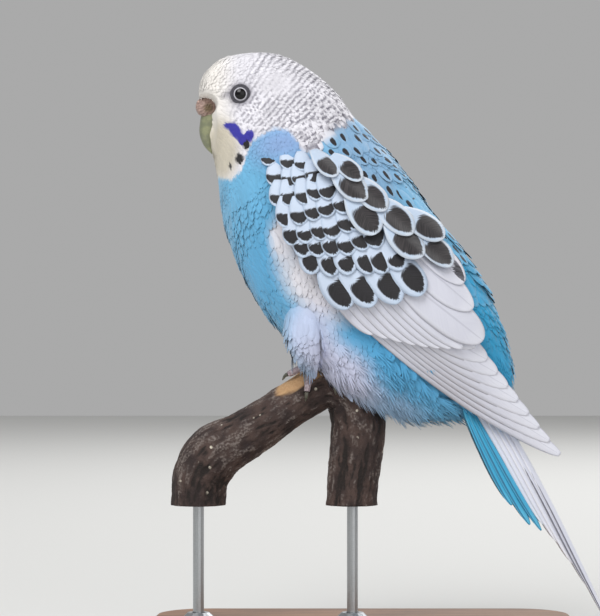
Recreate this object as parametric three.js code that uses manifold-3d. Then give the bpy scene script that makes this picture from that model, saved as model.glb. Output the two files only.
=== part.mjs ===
// A life-size budgerigar gripping a short cut branch on a plain display stand.
// Millimetres, +Z up. The bird faces -X and its left side is towards -Y.
// The origin is the middle of the stand's underside.
import * as THREE from "three";
import { mergeVertices } from "three/addons/utils/BufferGeometryUtils.js";
import Module from "manifold-3d";

const wasm = await Module();
wasm.setup();

// Driving dimensions
const GAP = 0.3; // clearance between pieces that meet
const BASE = { length: 116, depth: 76, height: 6, corner: 14, bevel: 0.8 };
const ROD = { radius: 1.5, sides: 14 };
const COLLAR = { inner: 1.8, outer: 4.2, height: 3 };
const PERCH_FOOT = 38.3; // height of the branch's two sawn ends
const WING_LENGTH = 106;
const TAIL_LENGTH = 79;
const EYE_RADIUS = 2.5;

// The body is lofted through these stations: the point of the back's line, the point of the
// breast's line, half the width, and how square the breast side is (2 is an ellipse).
const BODY = [
  { name: "face", back: [-45.0, 147.6], front: [-45.0, 147.6], half: 0, square: 2 },
  { name: "brow", back: [-44.7, 151.9], front: [-43.4, 142.9], half: 6.4, square: 2 },
  { name: "forehead", back: [-43.0, 155.6], front: [-42.5, 140.1], half: 9.2, square: 2 },
  { name: "crown", back: [-38.5, 159.1], front: [-42.0, 137.2], half: 11.2, square: 2.1 },
  { name: "eye", back: [-31.0, 160.7], front: [-41.4, 134.0], half: 12.4, square: 2.1 },
  { name: "poll", back: [-23.0, 159.9], front: [-40.7, 130.6], half: 13.6, square: 2.1 },
  { name: "nape", back: [-15.4, 156.6], front: [-40.0, 126.0], half: 15.0, square: 2.1 },
  { name: "neck", back: [-8.7, 151.0], front: [-39.3, 119.6], half: 16.6, square: 2.1 },
  { name: "shoulder", back: [-1.9, 142.6], front: [-37.6, 111.5], half: 18.2, square: 2.1 },
  { name: "breast", back: [8.1, 131.5], front: [-33.6, 101.0], half: 18.8, square: 2.1 },
  { name: "back", back: [17.6, 118.8], front: [-27.6, 90.4], half: 18.8, square: 2.3 },
  { name: "flank", back: [26.2, 107.2], front: [-17.2, 79.6], half: 17.8, square: 2.8 },
  { name: "belly", back: [33.8, 94.5], front: [-6.0, 69.6], half: 16.0, square: 3.2 },
  { name: "vent", back: [38.1, 82.9], front: [7.3, 63.6], half: 11.0, square: 2.8 },
  { name: "rump", back: [39.6, 75.0], front: [20.3, 63.4], half: 7.0, square: 2.2 },
  { name: "end", back: [36.6, 64.5], front: [36.6, 64.5], half: 0, square: 2 },
];
const BODY_RINGS = 28;
const BODY_SIDES = 20;
// Places along the body, counted in stations, where it is parted into its named lengths.
const PARTINGS = { head_neck: 6.4, neck_torso: 8.15, torso_abdomen: 11.1 };

const BONE_WHITE = 0xe6e4ea;
const SKY_BLUE = 0x6db9e0;
const WING_WHITE = 0xd9d8e6;
const WING_BLACK = 0x2a2730;
const HORN = 0x8d9376;
const SKIN = 0x9c8f96;
const BARK = 0x3d3133;
const STEEL = 0xb0b0b4;

const v3 = (x, y, z) => new THREE.Vector3(x, y, z);

// Joins and cuts

// A closed geometry as a solid, turned right side out.
function solidOf(geometry) {
  const plain = geometry.index ? geometry.toNonIndexed() : geometry.clone();
  for (const name of Object.keys(plain.attributes)) {
    if (name !== "position") plain.deleteAttribute(name);
  }
  const merged = mergeVertices(plain, 1e-4);
  const make = (corners) =>
    new wasm.Manifold(
      new wasm.Mesh({
        numProp: 3,
        vertProperties: merged.attributes.position.array,
        triVerts: corners,
      }),
    );
  const corners = new Uint32Array(merged.index.array);
  const made = make(corners);
  if (made.volume() > 0) return made;
  for (let i = 0; i < corners.length; i += 3) {
    [corners[i], corners[i + 1]] = [corners[i + 1], corners[i]];
  }
  return make(corners);
}

const joined = (solids) => solids.reduce((all, one) => all.add(one));

// The largest closed surface of a solid, which drops loose scraps and fills sealed hollows.
function largest(solid) {
  return solid
    .decompose()
    .reduce((best, one) => (one.volume() > best.volume() ? one : best));
}

function cutBy(solid, ...cutters) {
  return largest(cutters.reduce((left, one) => left.subtract(one), solid));
}

// Lofts

// Skins closed rings of equal count. A ring of one point is a pole, and an open end is capped.
// From the side number splitFrom on, each quad is split the other way, so that the two faces
// of a thin vane are split alike.
function loft(rings, splitFrom = Infinity) {
  const points = [];
  const faces = [];
  const starts = rings.map((ring) => {
    const start = points.length;
    points.push(...ring);
    return start;
  });
  for (let i = 0; i + 1 < rings.length; i++) {
    const [a, b] = [rings[i], rings[i + 1]];
    const [p, q] = [starts[i], starts[i + 1]];
    const count = Math.max(a.length, b.length);
    for (let j = 0; j < count; j++) {
      const k = (j + 1) % count;
      if (a.length === 1) faces.push([p, q + k, q + j]);
      else if (b.length === 1) faces.push([p + j, p + k, q]);
      else if (j < splitFrom) faces.push([p + j, p + k, q + k], [p + j, q + k, q + j]);
      else faces.push([p + j, p + k, q + j], [p + k, q + k, q + j]);
    }
  }
  const cap = (ring, start, flip) => {
    for (let j = 1; j + 1 < ring.length; j++) {
      faces.push(flip ? [start, start + j, start + j + 1] : [start, start + j + 1, start + j]);
    }
  };
  cap(rings[0], starts[0], false);
  cap(rings.at(-1), starts.at(-1), true);
  const geometry = new THREE.BufferGeometry().setFromPoints(points);
  geometry.setIndex(faces.flat());
  return solidOf(geometry);
}

// A smooth value of a table of [place, value, ...] rows at a place between them.
function eased(rows, place, column = 1) {
  const last = rows.length - 1;
  const at = THREE.MathUtils.clamp(place, rows[0][0], rows[last][0]);
  let i = 0;
  while (i < last - 1 && at > rows[i + 1][0]) i++;
  const slope = (k) => {
    const [low, high] = [rows[Math.max(0, k - 1)], rows[Math.min(last, k + 1)]];
    return (high[column] - low[column]) / (high[0] - low[0]);
  };
  const span = rows[i + 1][0] - rows[i][0];
  const t = (at - rows[i][0]) / span;
  const [t2, t3] = [t * t, t * t * t];
  return (
    rows[i][column] * (2 * t3 - 3 * t2 + 1) +
    slope(i) * span * (t3 - 2 * t2 + t) +
    rows[i + 1][column] * (3 * t2 - 2 * t3) +
    slope(i + 1) * span * (t3 - t2)
  );
}

// A tube along points in 3D, with a radius for each point and an optional flattening along Y.
function tube(points, radii, { sides = 8, steps = 12, flat = 1, tip = false } = {}) {
  const path = new THREE.CatmullRomCurve3(points.map((p) => v3(...p)));
  const rows = radii.map((r, i) => [i / (radii.length - 1), r]);
  const rings = [];
  let across = null;
  for (let i = 0; i <= steps; i++) {
    const t = i / steps;
    const centre = path.getPoint(t);
    const ahead = path.getTangent(t);
    if (!across) {
      const side = Math.abs(ahead.y) < 0.9 ? v3(0, 1, 0) : v3(1, 0, 0);
      across = side.cross(ahead).normalize();
    }
    across.addScaledVector(ahead, -across.dot(ahead)).normalize();
    const other = ahead.clone().cross(across);
    if (tip && i === steps) {
      rings.push([centre]);
      continue;
    }
    const radius = eased(rows, t);
    const ring = [];
    for (let j = 0; j < sides; j++) {
      const angle = (2 * Math.PI * j) / sides;
      ring.push(
        centre
          .clone()
          .addScaledVector(across, radius * Math.cos(angle))
          .addScaledVector(other, radius * flat * Math.sin(angle)),
      );
    }
    rings.push(ring);
  }
  return loft(rings);
}

// An egg: an ellipsoid at a centre, turned about Y.
function egg([x, y, z], [rx, ry, rz], turn = 0, detail = 12) {
  const geometry = new THREE.SphereGeometry(1, detail, Math.round(detail * 0.7));
  geometry.scale(rx, ry, rz);
  geometry.rotateY(turn);
  geometry.translate(x, y, z);
  return solidOf(geometry);
}

// The body

const stationCurve = (pick) =>
  new THREE.CatmullRomCurve3(BODY.map((s) => v3(...pick(s))), false, "catmullrom", 0.5);
const backLine = stationCurve((s) => [s.back[0], 0, s.back[1]]);
const frontLine = stationCurve((s) => [s.front[0], 0, s.front[1]]);
const widthLine = stationCurve((s) => [s.half, s.square, 0]);

function bodyRing(t, grow) {
  const back = backLine.getPoint(t);
  const front = frontLine.getPoint(t);
  const { x: half, y: square } = widthLine.getPoint(t);
  const centre = back.clone().add(front).multiplyScalar(0.5);
  const arm = back.clone().sub(front).multiplyScalar(0.5);
  arm.setLength(arm.length() + grow);
  const ring = [];
  for (let j = 0; j < BODY_SIDES; j++) {
    const angle = (2 * Math.PI * j) / BODY_SIDES;
    const [c, s] = [Math.cos(angle), Math.sin(angle)];
    const power = 2 / (c < 0 ? square : 2);
    const along = Math.sign(c) * Math.abs(c) ** power;
    const side = Math.sign(s) * Math.abs(s) ** power;
    ring.push(
      centre
        .clone()
        .addScaledVector(arm, along)
        .add(v3(0, side * (half + grow), 0)),
    );
  }
  return ring;
}

// The whole body, or the same body grown all over to keep a gap to what meets it.
function wholeBody(grow = 0) {
  const rings = [];
  const ends = [BODY[0].back, BODY.at(-1).back].map(([x, z]) => v3(x, 0, z));
  for (let i = 1; i < BODY_RINGS; i++) rings.push(bodyRing(i / BODY_RINGS, grow));
  const middle = (ring) => ring.reduce((sum, p) => sum.add(p), v3(0, 0, 0)).divideScalar(ring.length);
  const pole = (end, ring) => {
    const out = end.clone().sub(middle(ring));
    return [end.clone().add(out.setLength(grow + 1e-3))];
  };
  return loft([pole(ends[0], rings[0]), ...rings, pole(ends[1], rings.at(-1))]);
}

// The plane across the body at a station number, as a normal towards the tail and an offset.
function partingPlane(station) {
  const t = station / (BODY.length - 1);
  const back = backLine.getPoint(t);
  const front = frontLine.getPoint(t);
  const arm = back.clone().sub(front);
  const normal = v3(-arm.z, 0, arm.x).normalize();
  if (normal.z > 0) normal.negate();
  return { normal: normal.toArray(), offset: normal.dot(back) };
}

// The lengths of a solid between partings, each half a gap short of the next.
function partedAt(solid, stations) {
  const pieces = [];
  let rest = solid;
  for (const station of stations) {
    const { normal, offset } = partingPlane(station);
    const against = normal.map((n) => -n);
    pieces.push(largest(rest.trimByPlane(against, -(offset - GAP / 2))));
    rest = rest.trimByPlane(normal, offset + GAP / 2);
  }
  return [...pieces, largest(rest)];
}

// Feathers

// How wide a feather is along its length, as a share of its greatest width.
function vaneWidth(t, root) {
  const swell = root + (1 - root) * Math.sin((Math.PI / 2) * Math.min(1, t / 0.5));
  const round = t < 0.6 ? 1 : Math.sqrt(1 - 0.95 * ((t - 0.6) / 0.4) ** 2);
  return swell * round;
}

// One feather on a guide surface. place(a, b, lift) gives a point of it, from and to are the
// feather's root and tip there, and tilt raises one edge over the next feather's.
function vane(place, feather) {
  const { from, to, width, lift, thick = 0.5, tilt = 0.16, bow = 0 } = feather;
  const { root = 0.45, stops = [0, 0.45, 0.8, 1] } = feather;
  const [da, db] = [to[0] - from[0], to[1] - from[1]];
  const length = Math.hypot(da, db);
  const [na, nb] = [-db / length, da / length];
  const rings = stops.map((t) => {
    const side = bow * Math.sin(Math.PI * t);
    const half = (width / 2) * vaneWidth(t, root);
    const height = lift[0] + (lift[1] - lift[0]) * t;
    const at = (across, up) =>
      place(
        from[0] + da * t + na * (across * half + side),
        from[1] + db * t + nb * (across * half + side),
        height + across * half * tilt + up,
      );
    return [at(-1, thick / 2), at(1, thick / 2), at(1, -thick / 2), at(-1, -thick / 2)];
  });
  return loft(rings, 2);
}

// A row of feathers whose tips lie on a line from the first to the last, bulged sideways.
function featherRow(place, row) {
  const { count, first, last, bulge = 0, length, width, lean, ...more } = row;
  const mix = (pair, t) => pair[0] + (pair[1] - pair[0]) * t;
  const [da, db] = [last[0] - first[0], last[1] - first[1]];
  const span = Math.hypot(da, db);
  return Array.from({ length: count }, (_, i) => {
    const t = i / (count - 1);
    const out = (bulge / span) * Math.sin(Math.PI * t);
    const tip = [first[0] + da * t + db * out, first[1] + db * t - da * out];
    const angle = THREE.MathUtils.degToRad(mix(lean, t));
    const reach = mix(length, t);
    const from = [tip[0] - reach * Math.cos(angle), tip[1] - reach * Math.sin(angle)];
    return vane(place, { from, to: tip, width: mix(width, t), ...more });
  });
}

// A flat pad on a guide surface, an ellipse between two lifts, which feathers root in.
function pad(place, [ca, cb], [ra, rb], [low, high], turn = 0, sides = 10) {
  const angle = THREE.MathUtils.degToRad(turn);
  const [c, s] = [Math.cos(angle), Math.sin(angle)];
  const ring = (share, lift) =>
    Array.from({ length: sides }, (_, j) => {
      const way = (2 * Math.PI * j) / sides;
      const [p, q] = [share * ra * Math.cos(way), share * rb * Math.sin(way)];
      return place(ca + p * c - q * s, cb + p * s + q * c, lift);
    });
  const rise = high - low;
  return loft([
    [place(ca, cb, low)],
    ring(0.5, low),
    ring(0.94, low),
    ring(1, low + rise * 0.5),
    ring(0.88, high),
    [place(ca, cb, high)],
  ]);
}

// The folded wing: a shell over the body's side, in millimetres along the wing from the wrist
// and across it towards the back.
const WRIST = [-24, 126];
const WING_WAY = { along: [0.7257, -0.688], across: [0.688, 0.7257] };
// along the wing, the shell's half width, its middle across, and its reach above and below
const SHELL = [
  [-8, 13.5, -1.5, 27, 25],
  [0, 16.8, -1.5, 27.5, 25],
  [8, 18.5, -1.5, 28, 25],
  [16, 19.1, -1.5, 28.3, 26],
  [24, 19.3, -1.5, 27, 29],
  [32, 19.2, -1.5, 25.5, 32],
  [40, 18.8, -1.5, 23.7, 34],
  [48, 18.0, -2.0, 22.9, 36],
  [56, 16.9, -2.3, 21.3, 32],
  [64, 15.0, -2.5, 19.6, 24],
  [72, 12.4, -2.5, 15.8, 18],
  [80, 10.0, -2.5, 15, 15],
  [96, 7.0, -2.0, 14, 14],
  [110, 5.2, -1.5, 13, 13],
];
// The tiers settle towards the body between these places across the wing.
const SETTLE = { start: 8, end: 14 };

function wingPlace(settle = 0) {
  const bare = (a, b) => {
    const [half, middle, above, below] = [1, 2, 3, 4].map((column) => eased(SHELL, a, column));
    const r = THREE.MathUtils.clamp((b - middle) / (b > middle ? above : below), -0.97, 0.97);
    return v3(
      WRIST[0] + a * WING_WAY.along[0] + b * WING_WAY.across[0],
      -half * Math.sqrt(1 - r * r),
      WRIST[1] + a * WING_WAY.along[1] + b * WING_WAY.across[1],
    );
  };
  return (a, b, lift) => {
    const here = bare(a, b);
    const step = 0.5;
    const ahead = bare(a + step, b).sub(bare(a - step, b));
    const up = bare(a, b + step).sub(bare(a, b - step));
    const normal = ahead.cross(up).normalize();
    if (normal.y > 0) normal.negate();
    const drop = settle * THREE.MathUtils.smoothstep(b, SETTLE.start, SETTLE.end);
    return here.addScaledVector(normal, lift - drop);
  };
}

// Lifts of the wing's four tiers above the shell at root and tip, each clear of the next, and
// how far a tier settles at its upper edge, where fewer tiers lie under it.
const TIER = {
  primaries: [0.1, 0.1],
  secondaries: [2.1, 2.0],
  coverts: [3.5, 4.1],
  scapulars: [6.0, 6.3],
};
const DROP = { primaries: 0, secondaries: 1.7, coverts: 0, scapulars: 3.0 };

// The long flight feathers of the hand, the outermost lowest and longest.
function primaries(place) {
  const count = 7;
  const feathers = Array.from({ length: count }, (_, i) =>
    vane(place, {
      from: [30 + 2 * i, -11.6 + 2.1 * i],
      to: [WING_LENGTH - 6.2 * i, -1.2 + 0.85 * i],
      width: 6.6 + 0.3 * i,
      lift: TIER.primaries,
      bow: -1.5,
      root: 0.6,
      stops: [0, 0.35, 0.7, 0.9, 1],
    }),
  );
  const hand = pad(place, [33, -4.0], [17, 8.5], [-4, 0.7], 9);
  return joined([hand, ...feathers]);
}

// The flight feathers of the forearm, and over them the three broad tertials.
function secondaries(place) {
  const row = featherRow(place, {
    count: 5,
    first: [47, -11.8],
    last: [66, 1.0],
    bulge: 1.5,
    length: [20, 26],
    width: [6.4, 7.6],
    lean: [-6, 3],
    lift: TIER.secondaries,
  });
  const tertials = [
    { from: [40, 3], to: [68.5, 5.5], width: 10 },
    { from: [36, 8.5], to: [61, 9.6], width: 9 },
    { from: [33, 13], to: [55, 13.2], width: 8 },
  ].map((feather) => vane(place, { ...feather, lift: TIER.secondaries }));
  const arm = pad(place, [36, 1.5], [15, 12.5], [1.5, 2.6]);
  return joined([arm, ...row, ...tertials]);
}

// The coverts: a greater, a median and three lesser rows, each row's tips over the next.
function coverts(place) {
  const rows = [
    { count: 4, first: [39, -10.6], last: [48.2, 3.4], length: [11, 13], width: [5.6, 6.4], lean: [-13, -8] },
    { count: 5, first: [27, -11.2], last: [40.2, 4.0], length: [9.5, 10.5], width: [5, 6], lean: [-34, -16] },
    { count: 4, first: [18.6, -9.4], last: [30.5, 3.6], length: [8.5, 9], width: [5, 5.6], lean: [-40, -22] },
    { count: 3, first: [11.8, -6.4], last: [21.4, 3.4], length: [7.5, 8], width: [5, 5.4], lean: [-42, -26] },
    { count: 2, first: [6, -3.4], last: [13, 3.6], length: [7, 7.5], width: [5, 5.4], lean: [-44, -30] },
  ].flatMap((row) =>
    featherRow(place, { ...row, bulge: 1, lift: TIER.coverts, stops: [0, 0.55, 0.85, 1] }),
  );
  const arm = pad(place, [20, -2.5], [19, 7.0], [3.2, 3.8], 6);
  const front = pad(place, [4, 0], [8, 6], [-4, 3.8], -15);
  return joined([arm, front, ...rows]);
}

// The shoulder feathers, which lie over the inner edge of the coverts.
function scapulars(place) {
  const tips = [
    [20, 8],
    [29, 6.6],
    [36, 11.6],
    [42.5, 8.0],
    [43.6, 15],
    [50, 11.6],
  ];
  const feathers = tips.map(([a, b]) =>
    vane(place, {
      from: [a - 14, b * 0.55 + 6.8],
      to: [a, b],
      width: 7.6,
      lift: TIER.scapulars,
    }),
  );
  const shoulder = pad(place, [8, 14.5], [11, 3.6], [-4, 5.8], 5);
  const blade = pad(place, [24, 13.5], [17, 3.6], [5.2, 5.8], -2);
  return joined([shoulder, blade, ...feathers]);
}

// The tail's guide: an arch across the tail that droops at its sides.
const TAIL = { root: [27, 73.4], along: [0.503, -0.865], up: [0.865, 0.503], arch: 5.6 };
// along the tail, how far the arch's crown lies above the axis
const TAIL_CROWN = [
  [0, 1.5],
  [20, 2.8],
  [40, 2.4],
  [60, 1.0],
  [80, -0.6],
];

function tailPlace(a, b, lift) {
  const angle = b / TAIL.arch;
  const crown = eased(TAIL_CROWN, a);
  const reach = TAIL.arch + lift;
  const up = crown - TAIL.arch + reach * Math.cos(angle);
  return v3(
    TAIL.root[0] + a * TAIL.along[0] + up * TAIL.up[0],
    reach * Math.sin(angle),
    TAIL.root[1] + a * TAIL.along[1] + up * TAIL.up[1],
  );
}

// Six pairs of tail feathers, the middle pair much the longest, with the short feathers
// that lap their roots from above and below.
function tail() {
  const tips = [TAIL_LENGTH, 60, 51, 45, 40];
  const fan = tips.flatMap((tip, i) =>
    [-1, 1].map((side) =>
      vane(tailPlace, {
        from: [12, side * (1.1 + 1.8 * i)],
        to: [tip - (side > 0 && i === 0 ? 2 : 0), side * (0.9 + 1.8 * i)],
        width: 4.4 - 0.2 * i,
        lift: [-0.1 * i, -0.3 * i],
        tilt: -0.25 * side,
        root: 0.7,
        stops: [0, 0.5, 0.85, 1],
      }),
    ),
  );
  const lap = (above) =>
    [-1, 0, 1].map((i) =>
      vane(tailPlace, {
        from: [5, 3.2 * i],
        to: [(above ? 27 : 34) - 4 * Math.abs(i), 3 * i],
        width: 5,
        lift: above ? [0.9, 1.4] : [-4.6, -3.4],
        tilt: 0,
      }),
    );
  const core = tube(
    [
      [27, 0, 75],
      [32.6, 0, 65.4],
      [38, 0, 56],
      [42.6, 0, 48],
    ],
    [4.6, 5.2, 4.2, 1.2],
    { sides: 12, steps: 5 },
  );
  return joined([core, ...fan, ...lap(true), ...lap(false)]);
}

// The head's own pieces

const EYE = { at: [-33.4, 10.9, 148.3] };

const eyeBall = (side, grow = 0) =>
  egg([EYE.at[0], side * EYE.at[1], EYE.at[2]], Array(3).fill(EYE_RADIUS + grow), 0, 10);

// A soft round lid round the eye, a ring turned about the Y axis and sunk in the head.
function eyeLid(side) {
  const ring = { radius: 2.5, thick: 0.75, at: side * 12.35, sides: 5 };
  const profile = Array.from({ length: ring.sides + 1 }, (_, i) => {
    const angle = (2 * Math.PI * i) / ring.sides;
    return new THREE.Vector2(ring.radius + ring.thick * Math.cos(angle), ring.thick * Math.sin(angle));
  });
  const geometry = new THREE.LatheGeometry(profile, 14);
  geometry.translate(EYE.at[0], ring.at, EYE.at[2]);
  return solidOf(geometry);
}

// The fleshy cere: two low lobes, each with a nostril.
function cere(grow = 0) {
  const lobes = [-1, 1].map((side) =>
    egg([-42.7, side * 1.35, 145.7], [3.0 + grow, 2.2 + grow, 2.75 + grow], 0.25, 8),
  );
  const whole = joined(lobes);
  if (grow) return whole;
  const nostrils = [-1, 1].map((side) => egg([-44.7, side * 2.3, 147.2], [1.1, 0.5, 0.42], 0.5, 6));
  return largest(whole.subtract(joined(nostrils)));
}

// The hooked upper bill, from inside the cere down to its tucked tip.
const billUpper = (grow = 0) =>
  tube(
    [
      [-41.2, 0, 144.6],
      [-41.9, 0, 141.6],
      [-42.5, 0, 138.6],
      [-42.3, 0, 135.8],
      [-41.2, 0, 133.2],
    ],
    [2.9, 2.75, 2.3, 1.35, 0.25].map((r) => r + grow),
    { sides: 10, steps: 7, flat: 1.05 },
  );

// The lower bill, a short scoop behind the upper one.
const billLower = (grow = 0) =>
  egg([-39.0, 0, 137.6], [2.5 + grow, 2.6 + grow, 3.2 + grow], 0.35, 8);

// Legs and feet

const THIGH = [
  [-16, 11.5, 90],
  [-15.4, 11.0, 85],
  [-14.8, 9.2, 81],
  [-14.4, 7.8, 78.4],
];
const THIGH_RADII = [6.6, 5.6, 3.4, 1.9];

const sided = (points, side) => points.map(([x, y, z]) => [x, side * y, z]);

const thigh = (side, grow = 0) =>
  tube(sided(THIGH, side), THIGH_RADII.map((r) => r + grow), { sides: 12, steps: 7 });

// The branch's line and thickness, from one sawn end over the fork to the other.
const BRANCH = [
  { at: [-45.3, 0.5, 33], r: 7.6 },
  { at: [-45.0, 0.3, 40], r: 7.6 },
  { at: [-44.2, 0.0, 46.5], r: 7.9 },
  { at: [-40.6, -0.4, 52.2], r: 8.0 },
  { at: [-33.8, -0.6, 56.4], r: 7.0 },
  { at: [-25.9, -0.4, 61.4], r: 6.4 },
  { at: [-17.6, 0.0, 67.0], r: 6.2 },
  { at: [-10.4, 0.3, 70.7], r: 6.6 },
  { at: [-4.4, 0.6, 68.6], r: 7.2 },
  { at: [-1.9, 0.8, 61.6], r: 7.7 },
  { at: [-2.4, 0.6, 52.0], r: 7.2 },
  { at: [-3.4, 0.2, 43.0], r: 7.0 },
  { at: [-3.8, 0.0, 33], r: 7.3 },
];

function branch(grow = 0) {
  const limb = tube(
    BRANCH.map((p) => p.at),
    BRANCH.map((p) => p.r + grow),
    { sides: 11, steps: 22 },
  );
  const elbow = egg([-37.2, -0.2, 47.6], [7.0 + grow, 6.6 + grow, 7.4 + grow], 0.4, 8);
  const fork = egg([-5.0, 0.4, 66.4], [7.6 + grow, 7.2 + grow, 7.2 + grow], 0.3, 8);
  const whole = joined([limb, elbow, fork]);
  return whole.trimByPlane([0, 0, 1], PERCH_FOOT - grow);
}

// A point on the branch's skin, from a place along its line and an angle round it.
const branchPath = new THREE.CatmullRomCurve3(BRANCH.map((p) => v3(...p.at)));
const branchRadii = BRANCH.map((p, i) => [i / (BRANCH.length - 1), p.r]);

function onBranch(t, angle, above) {
  const centre = branchPath.getPoint(t);
  const ahead = branchPath.getTangent(t);
  const out = v3(0, 1, 0).addScaledVector(ahead, -ahead.y).normalize();
  const up = out.clone().cross(ahead);
  if (up.z < 0) up.negate();
  const turn = THREE.MathUtils.degToRad(angle);
  const reach = eased(branchRadii, t) + above;
  return centre
    .addScaledVector(up, reach * Math.cos(turn))
    .addScaledVector(out, reach * Math.sin(turn))
    .toArray();
}

// Each toe runs from the foot over the branch. Places are shares of the branch's line,
// and angles are measured from its top towards the foot's own side. The belly keeps room
// over the branch for the toes.
const FOOT = { place: 0.565, angle: 38, room: 3.7 };
const TOES = [
  { name: "inner_front", ends: [0.535, 28], tip: [0.508, 20], radius: 0.95 },
  { name: "outer_front", ends: [0.548, 62], tip: [0.524, 84], radius: 1.0 },
  { name: "outer_back", ends: [0.59, 62], tip: [0.606, 88], radius: 0.95 },
  { name: "inner_back", ends: [0.592, 26], tip: [0.612, 20], radius: 0.9 },
];

function toe(side, { ends, tip, radius }, grow = 0) {
  const above = radius + GAP + 0.25;
  const mix = (t) => [ends[0] + (tip[0] - ends[0]) * t, ends[1] + (tip[1] - ends[1]) * t];
  const stops = [[FOOT.place, FOOT.angle], ends, mix(0.5), tip];
  const points = stops.map(([t, angle], i) => onBranch(t, side * angle, above + (i === 0 ? 0.5 : 0)));
  return tube(points, [1.15, 1, 1, 0.85].map((k) => k * radius + grow), { sides: 6, steps: 5 });
}

function claw(side, { ends, tip, radius }, grow = 0) {
  const further = (k) => [tip[0] + (tip[0] - ends[0]) * k, tip[1] + (tip[1] - ends[1]) * k];
  const rows = [
    [0.06, radius + GAP + 0.25],
    [0.3, radius + GAP + 0.35],
    [0.55, radius + GAP - 0.1],
    [0.72, radius + GAP - 0.55],
  ];
  const points = rows.map(([k, above]) => {
    const [t, angle] = further(k);
    return onBranch(t, side * angle, above);
  });
  return tube(points, [0.62, 0.52, 0.34, 0.12].map((r) => r + grow), { sides: 5, steps: 4 });
}

// The scaly lower leg, from the thigh's feathers to the foot.
function lowerLeg(side, grow = 0) {
  const foot = onBranch(FOOT.place, side * FOOT.angle, 2.2);
  const shank = tube(
    [[-14.9, side * 6.6, 83.4 + grow], [-13.8, side * 6.0, 80.6], foot],
    [1.35, 1.2, 1.3].map((r) => r + grow),
    { sides: 8, steps: 3 },
  );
  const ball = egg(foot, [1.7, 1.6, 1.15].map((r) => r + grow), 0.5, 8);
  return joined([shank, ball]);
}

function foot(side, grow = 0) {
  const pieces = TOES.map((one) => toe(side, one, grow));
  return joined([lowerLeg(side, grow), ...pieces]);
}

// The stand

function standBase() {
  const { length, depth, height, corner, bevel } = BASE;
  const [x, y] = [length / 2 - bevel, depth / 2 - bevel];
  const shape = new THREE.Shape();
  shape.moveTo(-x + corner, -y);
  shape.lineTo(x - corner, -y);
  shape.absarc(x - corner, -y + corner, corner, -Math.PI / 2, 0);
  shape.lineTo(x, y - corner);
  shape.absarc(x - corner, y - corner, corner, 0, Math.PI / 2);
  shape.lineTo(-x + corner, y);
  shape.absarc(-x + corner, y - corner, corner, Math.PI / 2, Math.PI);
  shape.lineTo(-x, -y + corner);
  shape.absarc(-x + corner, -y + corner, corner, Math.PI, 1.5 * Math.PI);
  const geometry = new THREE.ExtrudeGeometry(shape, {
    depth: height - 2 * bevel,
    bevelSize: bevel,
    bevelThickness: bevel,
    bevelSegments: 1,
    curveSegments: 4,
  });
  geometry.translate(0, 0, bevel);
  return solidOf(geometry);
}

function standRod(x) {
  const low = BASE.height + GAP;
  const high = PERCH_FOOT - GAP;
  const geometry = new THREE.CylinderGeometry(ROD.radius, ROD.radius, high - low, ROD.sides);
  geometry.rotateX(Math.PI / 2);
  geometry.translate(x, 0, (low + high) / 2);
  return solidOf(geometry);
}

function standCollar(x) {
  const { inner, outer, height } = COLLAR;
  const low = BASE.height + GAP;
  const profile = [
    [inner, 0],
    [outer, 0],
    [outer, height * 0.6],
    [outer * 0.7, height],
    [inner, height],
    [inner, 0],
  ].map(([r, h]) => new THREE.Vector2(r, h));
  const geometry = new THREE.LatheGeometry(profile, ROD.sides);
  geometry.rotateX(Math.PI / 2);
  geometry.translate(x, 0, low);
  return solidOf(geometry);
}

// The object

const object = new THREE.Group();

function addNode(name, solid, color, { roughness = 0.8, metalness = 0, mirrored = false } = {}) {
  const mesh = solid.getMesh();
  const points = mesh.vertProperties;
  const corners = mesh.triVerts;
  if (mirrored) {
    for (let i = 1; i < points.length; i += 3) points[i] *= -1;
    for (let i = 0; i < corners.length; i += 3) {
      [corners[i], corners[i + 1]] = [corners[i + 1], corners[i]];
    }
  }
  const geometry = new THREE.BufferGeometry();
  geometry.setAttribute("position", new THREE.BufferAttribute(points, 3));
  geometry.setIndex(new THREE.BufferAttribute(corners, 1));
  geometry.computeVertexNormals();
  const material = new THREE.MeshStandardMaterial({ color, roughness, metalness });
  const piece = new THREE.Mesh(geometry, material);
  piece.name = name;
  object.add(piece);
}

const SIDES = [
  { word: "left", side: -1 },
  { word: "right", side: 1 },
];
const bodyCutter = wholeBody(GAP);
const perchCutter = branch(GAP);

function addBody() {
  const lids = SIDES.map(({ side }) => eyeLid(side));
  const cutters = SIDES.flatMap(({ side }) => [eyeBall(side, GAP), lowerLeg(side, GAP)]);
  cutters.push(cere(GAP), billUpper(GAP), billLower(GAP), branch(FOOT.room));
  const body = cutBy(joined([wholeBody(), ...lids]), ...cutters);
  const pieces = partedAt(body, Object.values(PARTINGS));
  ["head", "neck", "torso", "abdomen"].forEach((name, i) =>
    addNode(name, pieces[i], i < 2 ? BONE_WHITE : SKY_BLUE),
  );
}

function addHeadPieces() {
  addNode("cere", cutBy(cere(), billUpper(GAP)), SKIN, { roughness: 0.6 });
  addNode("bill_upper", largest(billUpper()), HORN, { roughness: 0.4 });
  addNode("bill_lower", cutBy(billLower(), billUpper(GAP)), HORN, { roughness: 0.4 });
  for (const { word, side } of SIDES) {
    addNode(`eye_${word}`, eyeBall(side), 0x08080a, { roughness: 0.1 });
  }
}

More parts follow.
